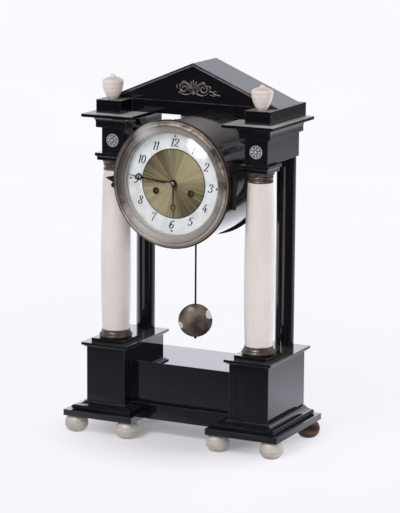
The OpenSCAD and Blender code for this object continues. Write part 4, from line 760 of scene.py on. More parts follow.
# Pale chased silvering with black hollows painted as shade, and the same gone dull in the tympanum
SILVERED = AgedMetal(
    "silvered_brass_chased", "#e9e8e7", "#aaa8a6", "#121014", 2.0, (0.35, 0.6), 0.15, (0.3, 0.45), 2.0, (0.92, 0.5)
)
DULL_SILVER = AgedMetal(
    "dull_silvered_brass", "#c6c0b8", "#47423e", "#120f0e", 2.5, (0.38, 0.54), 0.4, (0.3, 0.5), 2.2
)
# Yellow lacquered plates and wheels, a greyer bell, grey steel screws, clicks and hammer
MOVEMENT_BRASS = AgedMetal(
    "lacquered_movement_brass", "#b79d5e", "#8f7743", "#3a2d18", 14.0, (0.35, 0.65), 0.8, (0.22, 0.4)
)
BELL_METAL = AgedMetal("cast_bell_metal", "#b9b3a2", "#8c8474", "#3a342a", 11.0, (0.35, 0.65), 0.85, (0.18, 0.34))
STEEL = AgedMetal("polished_steel", "#8d9097", "#63656c", "#202126", 6.0, (0.35, 0.65), 0.85, (0.2, 0.4))
# Nearly black collets and hinge, a shining pin, and the steels of hands, arbors and rod from brown to blue-black
DARK_BUSH = AgedMetal("darkened_brass", "#332b24", "#1f1a15", "#0c0907", 3.0, (0.38, 0.64), 0.4, (0.3, 0.5))
BRIGHT_PIN = AgedMetal("bright_steel", "#c4c5c9", "#9a9ba0", "#4b4c52", 3.0, (0.35, 0.6), 0.8, (0.12, 0.24), 0.3)
BROWNED_STEEL = AgedMetal("browned_steel", "#66544b", "#463a34", "#181311", 4.0, (0.35, 0.65), 0.4, (0.3, 0.5))
DARK_STEEL = AgedMetal("darkened_steel", "#6f6660", "#4f4843", "#1d1a18", 4.0, (0.35, 0.65), 0.6, (0.3, 0.5))
BLUED_STEEL = AgedMetal("blued_steel_hands", "#2e3038", "#1e1f25", "#0d0d12", 5.0, (0.35, 0.65), 0.7, (0.22, 0.36))
JAPANNED = Lacquer("japanned_iron")
WHITE_ENAMEL = Enamel("white_enamel")
BEZEL_BRASS = WornBezel("worn_bezel_brass")
SUNRAY = SunrayBrass("engine_turned_brass")
CHIPPED_BOB = ChippedBronze("chipped_bronze_bob")
GLASS = WindowGlass("clock_glass")
NUMERAL_PAINT = DialPaint("dial_paint")
TURNED_BROWN = BrownWood("turned_brown_wood")
PAPER = PaperSweep("studio_paper")
GLOW = SoftGlow("window_glow")


def put(name: str, data: ID) -> Object:
    """Puts new data in the scene.

    Args:
        name: name of the object.
        data: its mesh, lamp or camera.

    Returns:
        The new object.
    """
    made = bpy.data.objects.new(name, data)
    bpy.context.scene.collection.objects.link(made)
    return made


def clear_away(*things: Object) -> None:
    """Removes helper objects from the scene."""
    for thing in things:
        bpy.data.objects.remove(thing)


def baked(thing: Object) -> Mesh:
    """Returns the plain mesh that an object has after its modifiers."""
    return bpy.data.meshes.new_from_object(thing.evaluated_get(bpy.context.evaluated_depsgraph_get()))


def piece(name: str, mesh: Mesh, body: str = CASE, stands_for: tuple[str, ...] = ()) -> None:
    """Puts a finished mesh in the scene on its body.

    Args:
        name: name of the new piece.
        mesh: its mesh, already in place.
        body: CAD body that carries it.
        stands_for: CAD nodes that it takes the place of.
    """
    made = put(name, mesh)
    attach(made, body)
    if stands_for:
        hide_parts(*stands_for)
    LOG.info("%s: %d faces on %s", name, len(mesh.polygons), body)


def close_mesh(name: str, form: BMesh, finish: Finish, smooth: bool = False, closed: bool = True) -> Mesh:
    """Turns an edited form into a mesh.

    Args:
        name: name of the mesh.
        form: the form, freed here.
        finish: finish that it wears.
        smooth: whether its faces are shaded smooth.
        closed: whether the form is closed; its faces are then turned outwards.

    Returns:
        The mesh.
    """
    if closed:
        bmesh.ops.recalc_face_normals(form, faces=form.faces)
    for face in form.faces:
        face.smooth = smooth
    mesh = bpy.data.meshes.new(name)
    form.to_mesh(mesh)
    form.free()
    mesh.materials.append(finish.material())
    return mesh


def loft(form: BMesh, rings: list[list[Place]]) -> None:
    """Adds a closed skin to a form.

    Args:
        form: form that takes the skin.
        rings: corners of each ring that it runs over, all of one count; the end rings are capped.
    """
    rows = [[form.verts.new(corner) for corner in ring] for ring in rings]
    for a, b in zip(rows, rows[1:]):
        for k in range(len(a)):
            n = (k + 1) % len(a)
            form.faces.new((a[k], a[n], b[n], b[k]))
    form.faces.new(rows[0])
    form.faces.new(rows[-1][::-1])


def prism(form: BMesh, outline: list[Point], front: float, back: float) -> None:
    """Adds a flat closed plate to a form: its outline in X and Z, between two values of Y."""
    loft(form, [[(x, y, z) for x, z in outline] for y in (front, back)])


def circle(r: float, count: int, at: Point = (0.0, 0.0)) -> list[Point]:
    """Returns evenly spaced points round a circle."""
    turns = [math.tau * k / count for k in range(count)]
    return [(at[0] + r * math.cos(a), at[1] + r * math.sin(a)) for a in turns]


def smooth_path(points: list[Point], steps: int = 5) -> list[Point]:
    """Runs a smooth curve through points.

    Args:
        points: points of the path.
        steps: samples to each stretch.

    Returns:
        Samples along the curve, first and last point kept.
    """
    ends = [points[0], *points, points[-1]]
    samples = []
    for a, b, c, d in zip(ends, ends[1:], ends[2:], ends[3:]):
        for k in range(steps):
            t = k / steps
            samples.append(tuple(
                0.5 * (2 * q + (r - p) * t + (2 * p - 5 * q + 4 * r - s) * t * t + (3 * q - p - 3 * r + s) * t ** 3)
                for p, q, r, s in zip(a, b, c, d)
            ))
    return [*samples, points[-1]]


def headings(path: list[Point]) -> list[Point]:
    """Returns the way that a path runs at each of its points, from the point before to the one after."""
    pairs = zip([path[0], *path[:-1]], [*path[1:], path[-1]])
    return [(after[0] - before[0], after[1] - before[1]) for before, after in pairs]


def sides_of(path: list[Point], widths: list[float]) -> tuple[list[Point], list[Point]]:
    """Finds both edges of a ribbon.

    Args:
        path: middle line of the ribbon.
        widths: its full width at each point.

    Returns:
        Left edge and right edge.
    """
    left, right = [], []
    for (x, z), (dx, dz), width in zip(path, headings(path), widths):
        size = math.hypot(dx, dz) or 1.0
        side = (-dz / size * width / 2, dx / size * width / 2)
        left.append((x + side[0], z + side[1]))
        right.append((x - side[0], z - side[1]))
    return left, right


def grow(name: str, tree: NodeTree, values: dict, points: list[Vector] | None = None) -> Object:
    """Runs a geometry tree once and keeps the result as a plain mesh.

    Args:
        name: name of the object.
        tree: geometry tree to run.
        values: value of each named input.
        points: loose points that the tree starts from.

    Returns:
        An object that holds the plain mesh, not yet on a body.
    """
    seed = bpy.data.meshes.new(name)
    seed.from_pydata(points or [], [], [])
    carrier = put(name, seed)
    modifier = carrier.modifiers.new(name, "NODES")
    modifier.node_group = tree
    for socket in tree.interface.items_tree:
        if socket.name in values:
            modifier[socket.identifier] = values[socket.name]
    carrier.data = baked(carrier)
    carrier.modifiers.clear()
    return carrier


def geometry_tree(name: str, inputs: dict[str, str]) -> tuple[NodeTree, NodeOutputs]:
    """Starts a geometry tree.

    Args:
        name: name of the tree.
        inputs: name of each input and type name of its socket.

    Returns:
        The tree, and its inputs by name.
    """
    tree = bpy.data.node_groups.new(name, "GeometryNodeTree")
    tree.interface.new_socket("Geometry", in_out="OUTPUT", socket_type="NodeSocketGeometry")
    for title, kind in inputs.items():
        tree.interface.new_socket(title, in_out="INPUT", socket_type=kind)
    return tree, add(tree, "NodeGroupInput", out=None)


def finish_tree(tree: NodeTree, shape: NodeSocket, coat: NodeSocket) -> None:
    """Ends a geometry tree with real faces that wear a material.

    Args:
        tree: tree to end.
        shape: geometry that it makes.
        coat: material input.
    """
    real = add(tree, "GeometryNodeRealizeInstances", {0: shape})
    worn = add(tree, "GeometryNodeSetMaterial", {0: real, "Material": coat})
    add(tree, "NodeGroupOutput", {0: worn}, out=None)


def ring_tree() -> NodeTree:
    """Makes a tree that sets copies of one piece round a circle, each pointing outwards.

    Returns:
        The geometry tree.
    """
    tree, given = geometry_tree("ring_of_petals", {
        "Count": "NodeSocketInt", "Radius": "NodeSocketFloat", "Turn": "NodeSocketFloat",
        "Petal": "NodeSocketObject", "Material": "NodeSocketMaterial",
    })
    ring = add(tree, "GeometryNodeMeshCircle", {"Vertices": given["Count"], "Radius": given["Radius"]})
    place = add(tree, "GeometryNodeInputPosition")
    axes = add(tree, "ShaderNodeSeparateXYZ", {0: place}, out=None)
    angle = add(tree, "ShaderNodeMath", {0: axes["Y"], 1: axes["X"]}, operation="ARCTAN2")
    spin = add(tree, "ShaderNodeCombineXYZ", {"Z": angle})
    petal = add(tree, "GeometryNodeObjectInfo", {"Object": given["Petal"]}, out="Geometry")
    row = add(tree, "GeometryNodeInstanceOnPoints", {"Points": ring, "Instance": petal, "Rotation": spin})
    whole = add(tree, "ShaderNodeCombineXYZ", {"Z": given["Turn"]})
    turned = add(tree, "GeometryNodeTransform", {"Geometry": row, "Rotation": whole})
    finish_tree(tree, turned, given["Material"])
    return tree


def scatter_tree() -> NodeTree:
    """Makes a tree that sets a copy of one piece on each point, its slot turned by chance.

    Returns:
        The geometry tree.
    """
    tree, given = geometry_tree("screws_on_points", {
        "Points": "NodeSocketGeometry", "Screw": "NodeSocketObject", "Seed": "NodeSocketInt",
        "Material": "NodeSocketMaterial",
    })
    chance = add(tree, "FunctionNodeRandomValue", {2: 0.0, 3: math.pi, "Seed": given["Seed"]}, out=1)
    spin = add(tree, "ShaderNodeCombineXYZ", {"Z": chance})
    screw = add(tree, "GeometryNodeObjectInfo", {"Object": given["Screw"]}, out="Geometry")
    rows = add(tree, "GeometryNodeInstanceOnPoints", {"Points": given["Points"], "Instance": screw, "Rotation": spin})
    finish_tree(tree, rows, given["Material"])
    return tree


def sunray_tree() -> NodeTree:
    """Makes a tree that pleats a flat ring into rays: two steps to a ray, ridge and valley in turn.

    Returns:
        The geometry tree.
    """
    tree, given = geometry_tree("sunray_pleats", {
        "Rays": "NodeSocketInt", "Inner": "NodeSocketFloat", "Outer": "NodeSocketFloat",
        "Thick": "NodeSocketFloat", "Depth": "NodeSocketFloat", "Material": "NodeSocketMaterial",
    })
    steps = add(tree, "ShaderNodeMath", {0: given["Rays"], 1: 2.0, 2: 1.0}, operation="MULTIPLY_ADD")
    sheet = add(tree, "GeometryNodeMeshGrid", {"Size X": 1.0, "Size Y": 1.0, "Vertices X": 4, "Vertices Y": steps})
    place = add(tree, "GeometryNodeInputPosition")
    axes = add(tree, "ShaderNodeSeparateXYZ", {0: place}, out=None)
    reach = add(tree, "ShaderNodeMapRange", {0: axes["X"], 1: -0.5, 2: 0.5, 3: given["Inner"], 4: given["Outer"]})
    angle = add(tree, "ShaderNodeMath", {0: axes["Y"], 1: -math.tau}, operation="MULTIPLY")
    across = add(tree, "ShaderNodeMath", {0: angle}, operation="COSINE")
    upward = add(tree, "ShaderNodeMath", {0: angle}, operation="SINE")
    x = add(tree, "ShaderNodeMath", {0: reach, 1: across}, operation="MULTIPLY")
    y = add(tree, "ShaderNodeMath", {0: reach, 1: upward}, operation="MULTIPLY")
    round_place = add(tree, "ShaderNodeCombineXYZ", {"X": x, "Y": y})
    disc = add(tree, "GeometryNodeSetPosition", {"Geometry": sheet, "Position": round_place})
    back = add(tree, "GeometryNodeFlipFaces", {0: disc})
    up = add(tree, "ShaderNodeCombineXYZ", {"Z": given["Thick"]})
    raised = add(tree, "GeometryNodeExtrudeMesh", {
        "Mesh": disc, "Offset": up, "Offset Scale": 1.0, "Individual": False,
    }, out=None)
    there = add(tree, "GeometryNodeInputPosition")
    spot = add(tree, "ShaderNodeSeparateXYZ", {0: there}, out=None)
    heading = add(tree, "ShaderNodeMath", {0: spot["Y"], 1: spot["X"]}, operation="ARCTAN2")
    share = add(tree, "ShaderNodeMath", {0: heading, 1: math.tau}, operation="DIVIDE")
    count = add(tree, "ShaderNodeMath", {0: share, 1: given["Rays"]}, operation="MULTIPLY")
    ridge = add(tree, "ShaderNodeMath", {0: count, 1: 0.5}, operation="PINGPONG")
    lift = add(tree, "ShaderNodeMath", {0: ridge, 1: given["Depth"]}, operation="MULTIPLY")
    twice = add(tree, "ShaderNodeMath", {0: lift, 1: 2.0}, operation="MULTIPLY")
    rise = add(tree, "ShaderNodeCombineXYZ", {"Z": twice})
    pleats = add(tree, "GeometryNodeSetPosition", {
        "Geometry": raised["Mesh"], "Selection": raised["Top"], "Offset": rise,
    })
    add(tree, "GeometryNodeJoinGeometry", {0: pleats}, out=None)
    joined = tree.nodes[-1]
    tree.links.new(back, joined.inputs[0])
    welded = add(tree, "GeometryNodeMergeByDistance", {0: joined.outputs[0], "Distance": 0.002 * MM})
    finish_tree(tree, welded, given["Material"])
    return tree


def settle(grown: list[Object], place: Matrix, name: str, finish: Finish, extra: BMesh | None = None) -> Mesh:
    """Joins grown objects into one mesh in its place and clears them away.

    Args:
        grown: objects with plain meshes.
        place: matrix that takes them to their place.
        name: name of the mesh.
        finish: finish that it wears.
        extra: more geometry in the same local frame, freed here.

    Returns:
        The joined mesh.
    """
    form = extra or bmesh.new()
    for thing in grown:
        form.from_mesh(thing.data)
    clear_away(*grown)
    bmesh.ops.transform(form, matrix=place, verts=form.verts)
    return close_mesh(name, form, finish)


class Assembly:
    """A sub-assembly of CAD solids; wears has one row for each finish: the finish, then the nodes that wear it."""

    wears: Rows = ()

    def dress(self) -> None:
        """Gives each CAD node its finish."""
        for finish, *nodes in self.wears:
            for name in nodes:
                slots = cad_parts[name].data.materials
                slots.clear()
                slots.append(finish.material())
                LOG.info("%s: %s", name, finish.name)


@dataclass
class CaseWork(Assembly):
    """The wooden case, its feet and finials: CAD solids in their finishes, each board with its grain."""

    wears: Rows = (
        (BLACK_ACROSS, "base_apron", "column_socles", "abaci", "pediment", "roof_left", "roof_right"),
        (BLACK_PLINTH, "plinth_left", "plinth_right"),
        (BLACK_MIRROR, "base_block"),
        (BLACK_CAPS, "pedestal_caps"),
        (DUSTY_ACROSS, "attic"),
        (DUSTY_SHEEN_DEEP, "cornices"),
        (BLACK_UPRIGHT, "pedestal_left", "pedestal_right", "rear_columns", "entablature_left", "entablature_right"),
        (FOOT_STONE, "feet_alabaster"),
        (TURNED_BROWN, "foot_wood"),
        (FINIAL_STONE, "finials"),
    )
    bead_in: float = 1.8 * MM
    bead_w: float = 1.5 * MM
    bead_proud: float = 0.7 * MM

    def build_beads(self) -> None:
        """Runs a thin bead along the front of both roof boards, painted pale grey as the reflection that it catches."""
        low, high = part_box("roof_right")
        rise, half = high[2] - low[2], high[0]
        slope = rise / half
        lean = math.hypot(1.0, slope)
        form = bmesh.new()
        for side in (-1, 1):
            outline = []
            for depth, ends in ((self.bead_in, (1, 0)), (self.bead_in + self.bead_w, (0, 1))):
                top = rise - depth * lean
                corners = ((0.0, low[2] + top), (side * top / slope, low[2]))
                outline += [corners[k] for k in ends]
            prism(form, outline, low[1] - self.bead_proud, low[1] + self.bead_proud)
        piece("roof_beads", close_mesh("roof_beads", form, SHEEN_BLACK))


@dataclass
class Columns(Assembly):
    """The two alabaster columns with brass bases and capitals."""

    wears: Rows = (
        (CREAM_STONE, "column_left", "column_right"),
        (PATINA_BRASS, "column_bases", "capitals"),
    )


@dataclass
class Ornaments(Assembly):
    """Silvered rosettes on the friezes and the scrolled mount in the tympanum.

    Each stem of the mount is a row: its points in mm, X from the middle and Z from the mount's foot, its width in
    mm, the share of that width at its two ends, and the share of the relief that it reaches.
    """

    wears: Rows = ((SILVERED, "rosettes", "tympanum_mount"),)
    rosette_x: float = 96.3 * MM
    rosette_z: float = 362.6 * MM
    frieze_y: float = -28.4 * MM
    rosette_r: float = 8.1 * MM
    rosette_sides: int = 40
    petals: int = 8
    fold: tuple[Point, ...] = ((-1.0, 0.25), (-0.5, 0.8125), (0.0, 0.7), (0.5, 0.8125), (1.0, 0.25))
    tympanum_y: float = -1.6 * MM
    mount_z: float = 420.4 * MM
    relief: float = 2.2 * MM
    slim: float = 0.62
    half_round: tuple[Point, ...] = (
        (0.0, -0.15), (0.0, 0.25), (0.22, 0.8), (0.5, 1.0), (0.78, 0.8), (1.0, 0.25), (1.0, -0.15),
    )
    shell_z: float = 7.5
    shell_r: float = 11.5
    shell_ribs: int = 7
    shell_from: float = 24.0
    shell_step: float = 22.0
    volute_at: Point = (13.0, 8.6)
    volute_start: float = 205.0
    volute_turns: float = -1.55
    volute_r: Point = (7.4, 1.4)
    pairs: Rows = (
        (((2, 6), (5, 2.2), (10, 0.8), (15, 1.2), (19.5, 3.6)), 2.2, (0.5, 0.35), 0.8),
        (((6.5, 12.5), (9.5, 15.4), (13, 16.6), (16, 15.2)), 2.0, (0.4, 0.5), 0.9),
        (((18.5, 12.6), (21.4, 12.2), (22.6, 9.6), (21.2, 7.6)), 1.9, (0.4, 0.5), 0.7),
        (((3.4, 5.8), (6.6, 6.4), (8.2, 9.6), (6.6, 12.0)), 1.7, (0.4, 0.4), 0.95),
    )
    singles: Rows = (
        (((18, 4.5), (23, 6.4), (27, 4.2), (31, 2.8), (36, 1.6)), 1.9, (0.5, 0.3), 0.6),
        (((22, 2.6), (25, 1.2), (28.5, 1.6), (31.5, 2.6)), 1.5, (0.4, 0.4), 0.5),
        (((26, 5.0), (28, 7.0), (30.5, 6.4)), 1.4, (0.5, 0.5), 0.5),
        (((-2.4, 2.2), (0, 3.6), (2.4, 2.2)), 2.4, (0.6, 0.6), 0.9),
        (((0, 1.0), (0, 4.0), (0, 7.4)), 2.6, (0.5, 0.7), 1.0),
    )

    def petal(self, length: float, width: float, height: float) -> Object:
        """Makes one petal that points along X.

        Args:
            length: length of the petal.
            width: its greatest width.
            height: height of its ridge.

        Returns:
            An object that holds the petal.
        """
        rings, steps = [], 5
        for k in range(steps + 1):
            u = k / steps
            blunt = 1.0 if k < steps else 0.6
            half = width / 2 * (0.35 + 0.65 * math.sin(math.pi * min(u * 0.72 + 0.14, 1.0))) * blunt
            crown = height * (0.35 + 0.65 * math.sin(math.pi * (0.15 + 0.7 * u)))
            top = [(u * length, v * half, up * crown) for v, up in self.fold]
            rings.append(top + [(x, y, 0.0) for x, y, _ in reversed(top)])
        form = bmesh.new()
        loft(form, rings)
        return put("petal", close_mesh("petal", form, SILVERED))

    def rosette(self) -> BMesh:
        """Turns the back plate, rim and boss of one rosette, facing local Z.

        Returns:
            The form.
        """
        form, sides = bmesh.new(), self.rosette_sides
        section = (
            (0.0, 3.0), (0.1, 2.9), (0.17, 2.3), (0.2, 1.2), (0.22, 0.3), (0.84, 0.3), (0.88, 1.3), (0.96, 1.3),
            (1.0, 0.7), (1.0, -0.2), (0.0, -0.2),
        )
        turned = [
            [form.verts.new((*corner, up * MM)) for corner in circle(share * self.rosette_r, sides if share else 1)]
            for share, up in section
        ]
        for inner, outer in zip(turned, turned[1:]):
            for k in range(sides):
                n = (k + 1) % sides
                ring = [inner[k % len(inner)], outer[k % len(outer)], outer[n % len(outer)], inner[n % len(inner)]]
                form.faces.new(list(dict.fromkeys(ring)))
        return form

    def build_rosettes(self) -> None:
        """Makes the pair of rosettes, two rows of petals each."""
        tree, r = ring_tree(), self.rosette_r
        long_petal = self.petal(0.5 * r, 0.34 * r, 2.6 * MM)
        short_petal = self.petal(0.26 * r, 0.16 * r, 1.6 * MM)
        rows = (
            ("petals_outer", 0.33 * r, 0.0, long_petal),
            ("petals_inner", 0.56 * r, math.pi / self.petals, short_petal),
        )
        forms = bmesh.new()
        for side in (-1, 1):
            grown = [grow(name, tree, {
                "Count": self.petals, "Radius": radius, "Turn": turn, "Petal": petal, "Material": SILVERED.material(),
            }) for name, radius, turn, petal in rows]
            place = Facing.FRONT.at(side * self.rosette_x, self.frieze_y, self.rosette_z)
            forms.from_mesh(settle(grown, place, "rosette", SILVERED, self.rosette()))
        clear_away(long_petal, short_petal)
        piece("rosettes_chased", close_mesh("rosettes_chased", forms, SILVERED), CASE, ("rosettes",))

    def ribbon(self, form: BMesh, path: list[Point], wide: float, ends: Point, high: float) -> None:
        """Lays a half-round stem on the tympanum.

        Args:
            form: form that takes the stem.
            path: points in mm, X from the middle and Z from the mount's foot.
            wide: width at the middle of the path in mm.
            ends: share of that width at its two ends.
            high: share of the mount's relief that it reaches.
        """
        line = smooth_path(path)
        last = len(line) - 1
        widths = []
        for k in range(last + 1):
            end = ends[0] if k * 2 < last else ends[1]
            widths.append(wide * self.slim * (end + (1 - end) * math.sin(math.pi * k / last) ** 0.7))
        loft(form, [[(
            (a[0] + (b[0] - a[0]) * t) * MM, self.tympanum_y - h * high * self.relief,
            self.mount_z + (a[1] + (b[1] - a[1]) * t) * MM,
        ) for t, h in self.half_round] for a, b in zip(*sides_of(line, widths))])

    def volute(self, count: int = 14) -> list[Point]:
        """Winds the right-hand volute in to its eye.

        Args:
            count: number of stretches.

        Returns:
            Points in mm.
        """
        first, last = self.volute_r
        points = []
        for k in range(count + 1):
            r = first + (last - first) * k / count
            a = math.radians(self.volute_start) + math.tau * self.volute_turns * k / count
            points.append((self.volute_at[0] + r * math.cos(a), self.volute_at[1] + r * math.sin(a)))
        return points

    def build_mount(self) -> None:
        """Makes the openwork mount: shell, volutes, leaves and one long tail."""
        form = bmesh.new()
        for k in range(self.shell_ribs):
            a = math.radians(self.shell_from + self.shell_step * k)
            tip = self.shell_r - 0.7 * abs(k - self.shell_ribs // 2)
            rib = [(r * math.cos(a), self.shell_z + r * math.sin(a)) for r in (1.2, 0.55 * tip, tip)]
            self.ribbon(form, rib, 2.3, (0.5, 0.75), 1.0)
        volute = (self.volute(), 2.2, (0.6, 0.9), 0.85)
        for side in (-1, 1):
            for path, *shape in (volute, *self.pairs):
                self.ribbon(form, [(side * x, z) for x, z in path], *shape)
        for stem in self.singles:
            self.ribbon(form, *stem)
        piece("tympanum_scrolls", close_mesh("tympanum_scrolls", form, DULL_SILVER), CASE,
              ("tympanum_mount",))


@dataclass
class Screws:
    """Slotted screws of the movement and the hinge, set by one geometry tree."""

    plate_y: float = -2.0 * MM
    pillar_r: float = 45.0 * MM
    pillar_angles: tuple[float, ...] = (70.0, 110.0, 240.0, 300.0)
    hinge_x: float = 75.7 * MM
    hinge_y: float = -47.5 * MM
    hinge_drop: float = 5.0 * MM
    hinge_step: float = 14.0 * MM

    def screw(self, radius: float, head: float) -> Object:
        """Makes one cheese-head screw whose head looks along Z.

        Args:
            radius: radius of the head.
            head: height of the head.

        Returns:
            An object that holds the screw head.
        """
        form = bmesh.new()
        slot, sunk, shoulder, floor = 0.16 * radius, -0.1 * head, 0.75 * head, 0.35 * head
        arc = [math.radians(12 + 156 * k / 8) for k in range(9)]
        for side in (-1, 1):
            outline = [(radius * math.cos(a), side * max(radius * math.sin(a), slot)) for a in arc]
            inset = [(x * 0.88, side * max(abs(y) * 0.88, slot)) for x, y in outline]
            levels = ((outline, sunk), (outline, shoulder), (inset, head))
            loft(form, [[(x, y, z) for x, y in ring] for ring, z in levels])
        end = 0.95 * radius
        bar = [(end, -slot), (end, slot), (-end, slot), (-end, -slot)]
        loft(form, [[(x, y, z) for x, y in bar] for z in (sunk, floor)])
        return put("screw", close_mesh("screw", form, STEEL))

    def build(self) -> None:
        """Sets the pillar screws on the back plate and two small ones on the hinge."""
        tree, coat = scatter_tree(), STEEL.material()
        big, small = self.screw(3.0 * MM, 1.2 * MM), self.screw(1.5 * MM, 0.6 * MM)
        angles = [math.radians(a) for a in self.pillar_angles]
        pillars = [Vector((self.pillar_r * math.cos(a), -self.pillar_r * math.sin(a), 0)) for a in angles]
        leaf = [Vector((-step * self.hinge_step, 0, 0)) for step in (-1, 1)]
        behind = Facing.REAR.at(0, self.plate_y, DIAL_Z)
        right = Facing.RIGHT.at(self.hinge_x, self.hinge_y, DIAL_Z - self.hinge_drop)
        rows = (("pillar_screws", big, 4, pillars, behind), ("hinge_screws", small, 9, leaf, right))
        for name, screw, seed, points, place in rows:
            grown = grow(name, tree, {"Screw": screw, "Seed": seed, "Material": coat}, points)
            piece(name, settle([grown], place, name, STEEL))
        clear_away(big, small)


@dataclass
class ClockHead(Assembly):
    """Drum, bezel, glass and the rear door."""

    wears: Rows = (
        (JAPANNED, "drum", "drum_rear_ring", "rear_door"),
        (BEZEL_BRASS, "bezel"),
        (GLASS, "glass"),
        (DARK_BUSH, "bezel_hinge"),
    )


class Digit(Enum):
    """Strokes of each figure in a box 0.6 wide and 1 high, and the places of its ball ends."""

    ZERO = ((((0.28, 1.0), (0.12, 0.86), (0.06, 0.5), (0.14, 0.12), (0.28, 0.0), (0.44, 0.14), (0.5, 0.5),
              (0.42, 0.88), (0.28, 1.0)),), ())
    ONE = ((((0.14, 0.82), (0.24, 0.88), (0.32, 1.0)), ((0.32, 1.0), (0.3, 0.5), (0.28, 0.0))), ())
    TWO = ((((0.08, 0.76), (0.1, 0.92), (0.28, 1.0), (0.46, 0.9), (0.48, 0.7), (0.36, 0.42), (0.16, 0.16),
             (0.04, 0.02)), ((0.04, 0.02), (0.16, 0.12), (0.34, 0.06), (0.48, 0.02), (0.56, 0.14))), ((0.1, 0.78),))
    THREE = ((((0.08, 0.8), (0.14, 0.95), (0.3, 1.0), (0.46, 0.9), (0.46, 0.7), (0.34, 0.56), (0.22, 0.52)),
              ((0.22, 0.52), (0.4, 0.48), (0.52, 0.32), (0.48, 0.12), (0.3, 0.0), (0.12, 0.06), (0.06, 0.2))),
             ((0.1, 0.81), (0.09, 0.19)))
    FOUR = ((((0.36, 1.0), (0.2, 0.67), (0.04, 0.34)), ((0.04, 0.34), (0.3, 0.34), (0.58, 0.34)),
             ((0.42, 0.62), (0.41, 0.3), (0.4, 0.0))), ())
    FIVE = ((((0.16, 0.96), (0.34, 0.93), (0.52, 1.0)), ((0.18, 0.96), (0.15, 0.76), (0.12, 0.56)),
             ((0.12, 0.56), (0.28, 0.62), (0.46, 0.5), (0.5, 0.26), (0.36, 0.02), (0.16, 0.02), (0.06, 0.16))),
            ((0.09, 0.15),))
    SIX = ((((0.5, 0.88), (0.4, 0.99), (0.24, 0.9), (0.1, 0.62), (0.06, 0.3), (0.16, 0.04), (0.34, 0.0),
             (0.5, 0.16), (0.5, 0.4), (0.36, 0.54), (0.2, 0.46), (0.09, 0.28)),), ((0.48, 0.88),))
    SEVEN = ((((0.06, 0.84), (0.14, 0.98), (0.3, 0.92), (0.46, 0.94), (0.56, 1.0)),
              ((0.56, 1.0), (0.36, 0.56), (0.22, 0.0))), ())
    EIGHT = ((((0.44, 0.9), (0.3, 1.0), (0.14, 0.9), (0.14, 0.72), (0.3, 0.56), (0.48, 0.38), (0.5, 0.16),
               (0.32, 0.0), (0.12, 0.12), (0.1, 0.34), (0.28, 0.52), (0.44, 0.68), (0.44, 0.9)),), ())
    NINE = ((((0.1, 0.12), (0.2, 0.01), (0.36, 0.1), (0.5, 0.38), (0.54, 0.7), (0.44, 0.96), (0.26, 1.0),
              (0.1, 0.84), (0.1, 0.6), (0.24, 0.46), (0.4, 0.54), (0.51, 0.72)),), ((0.12, 0.12),))


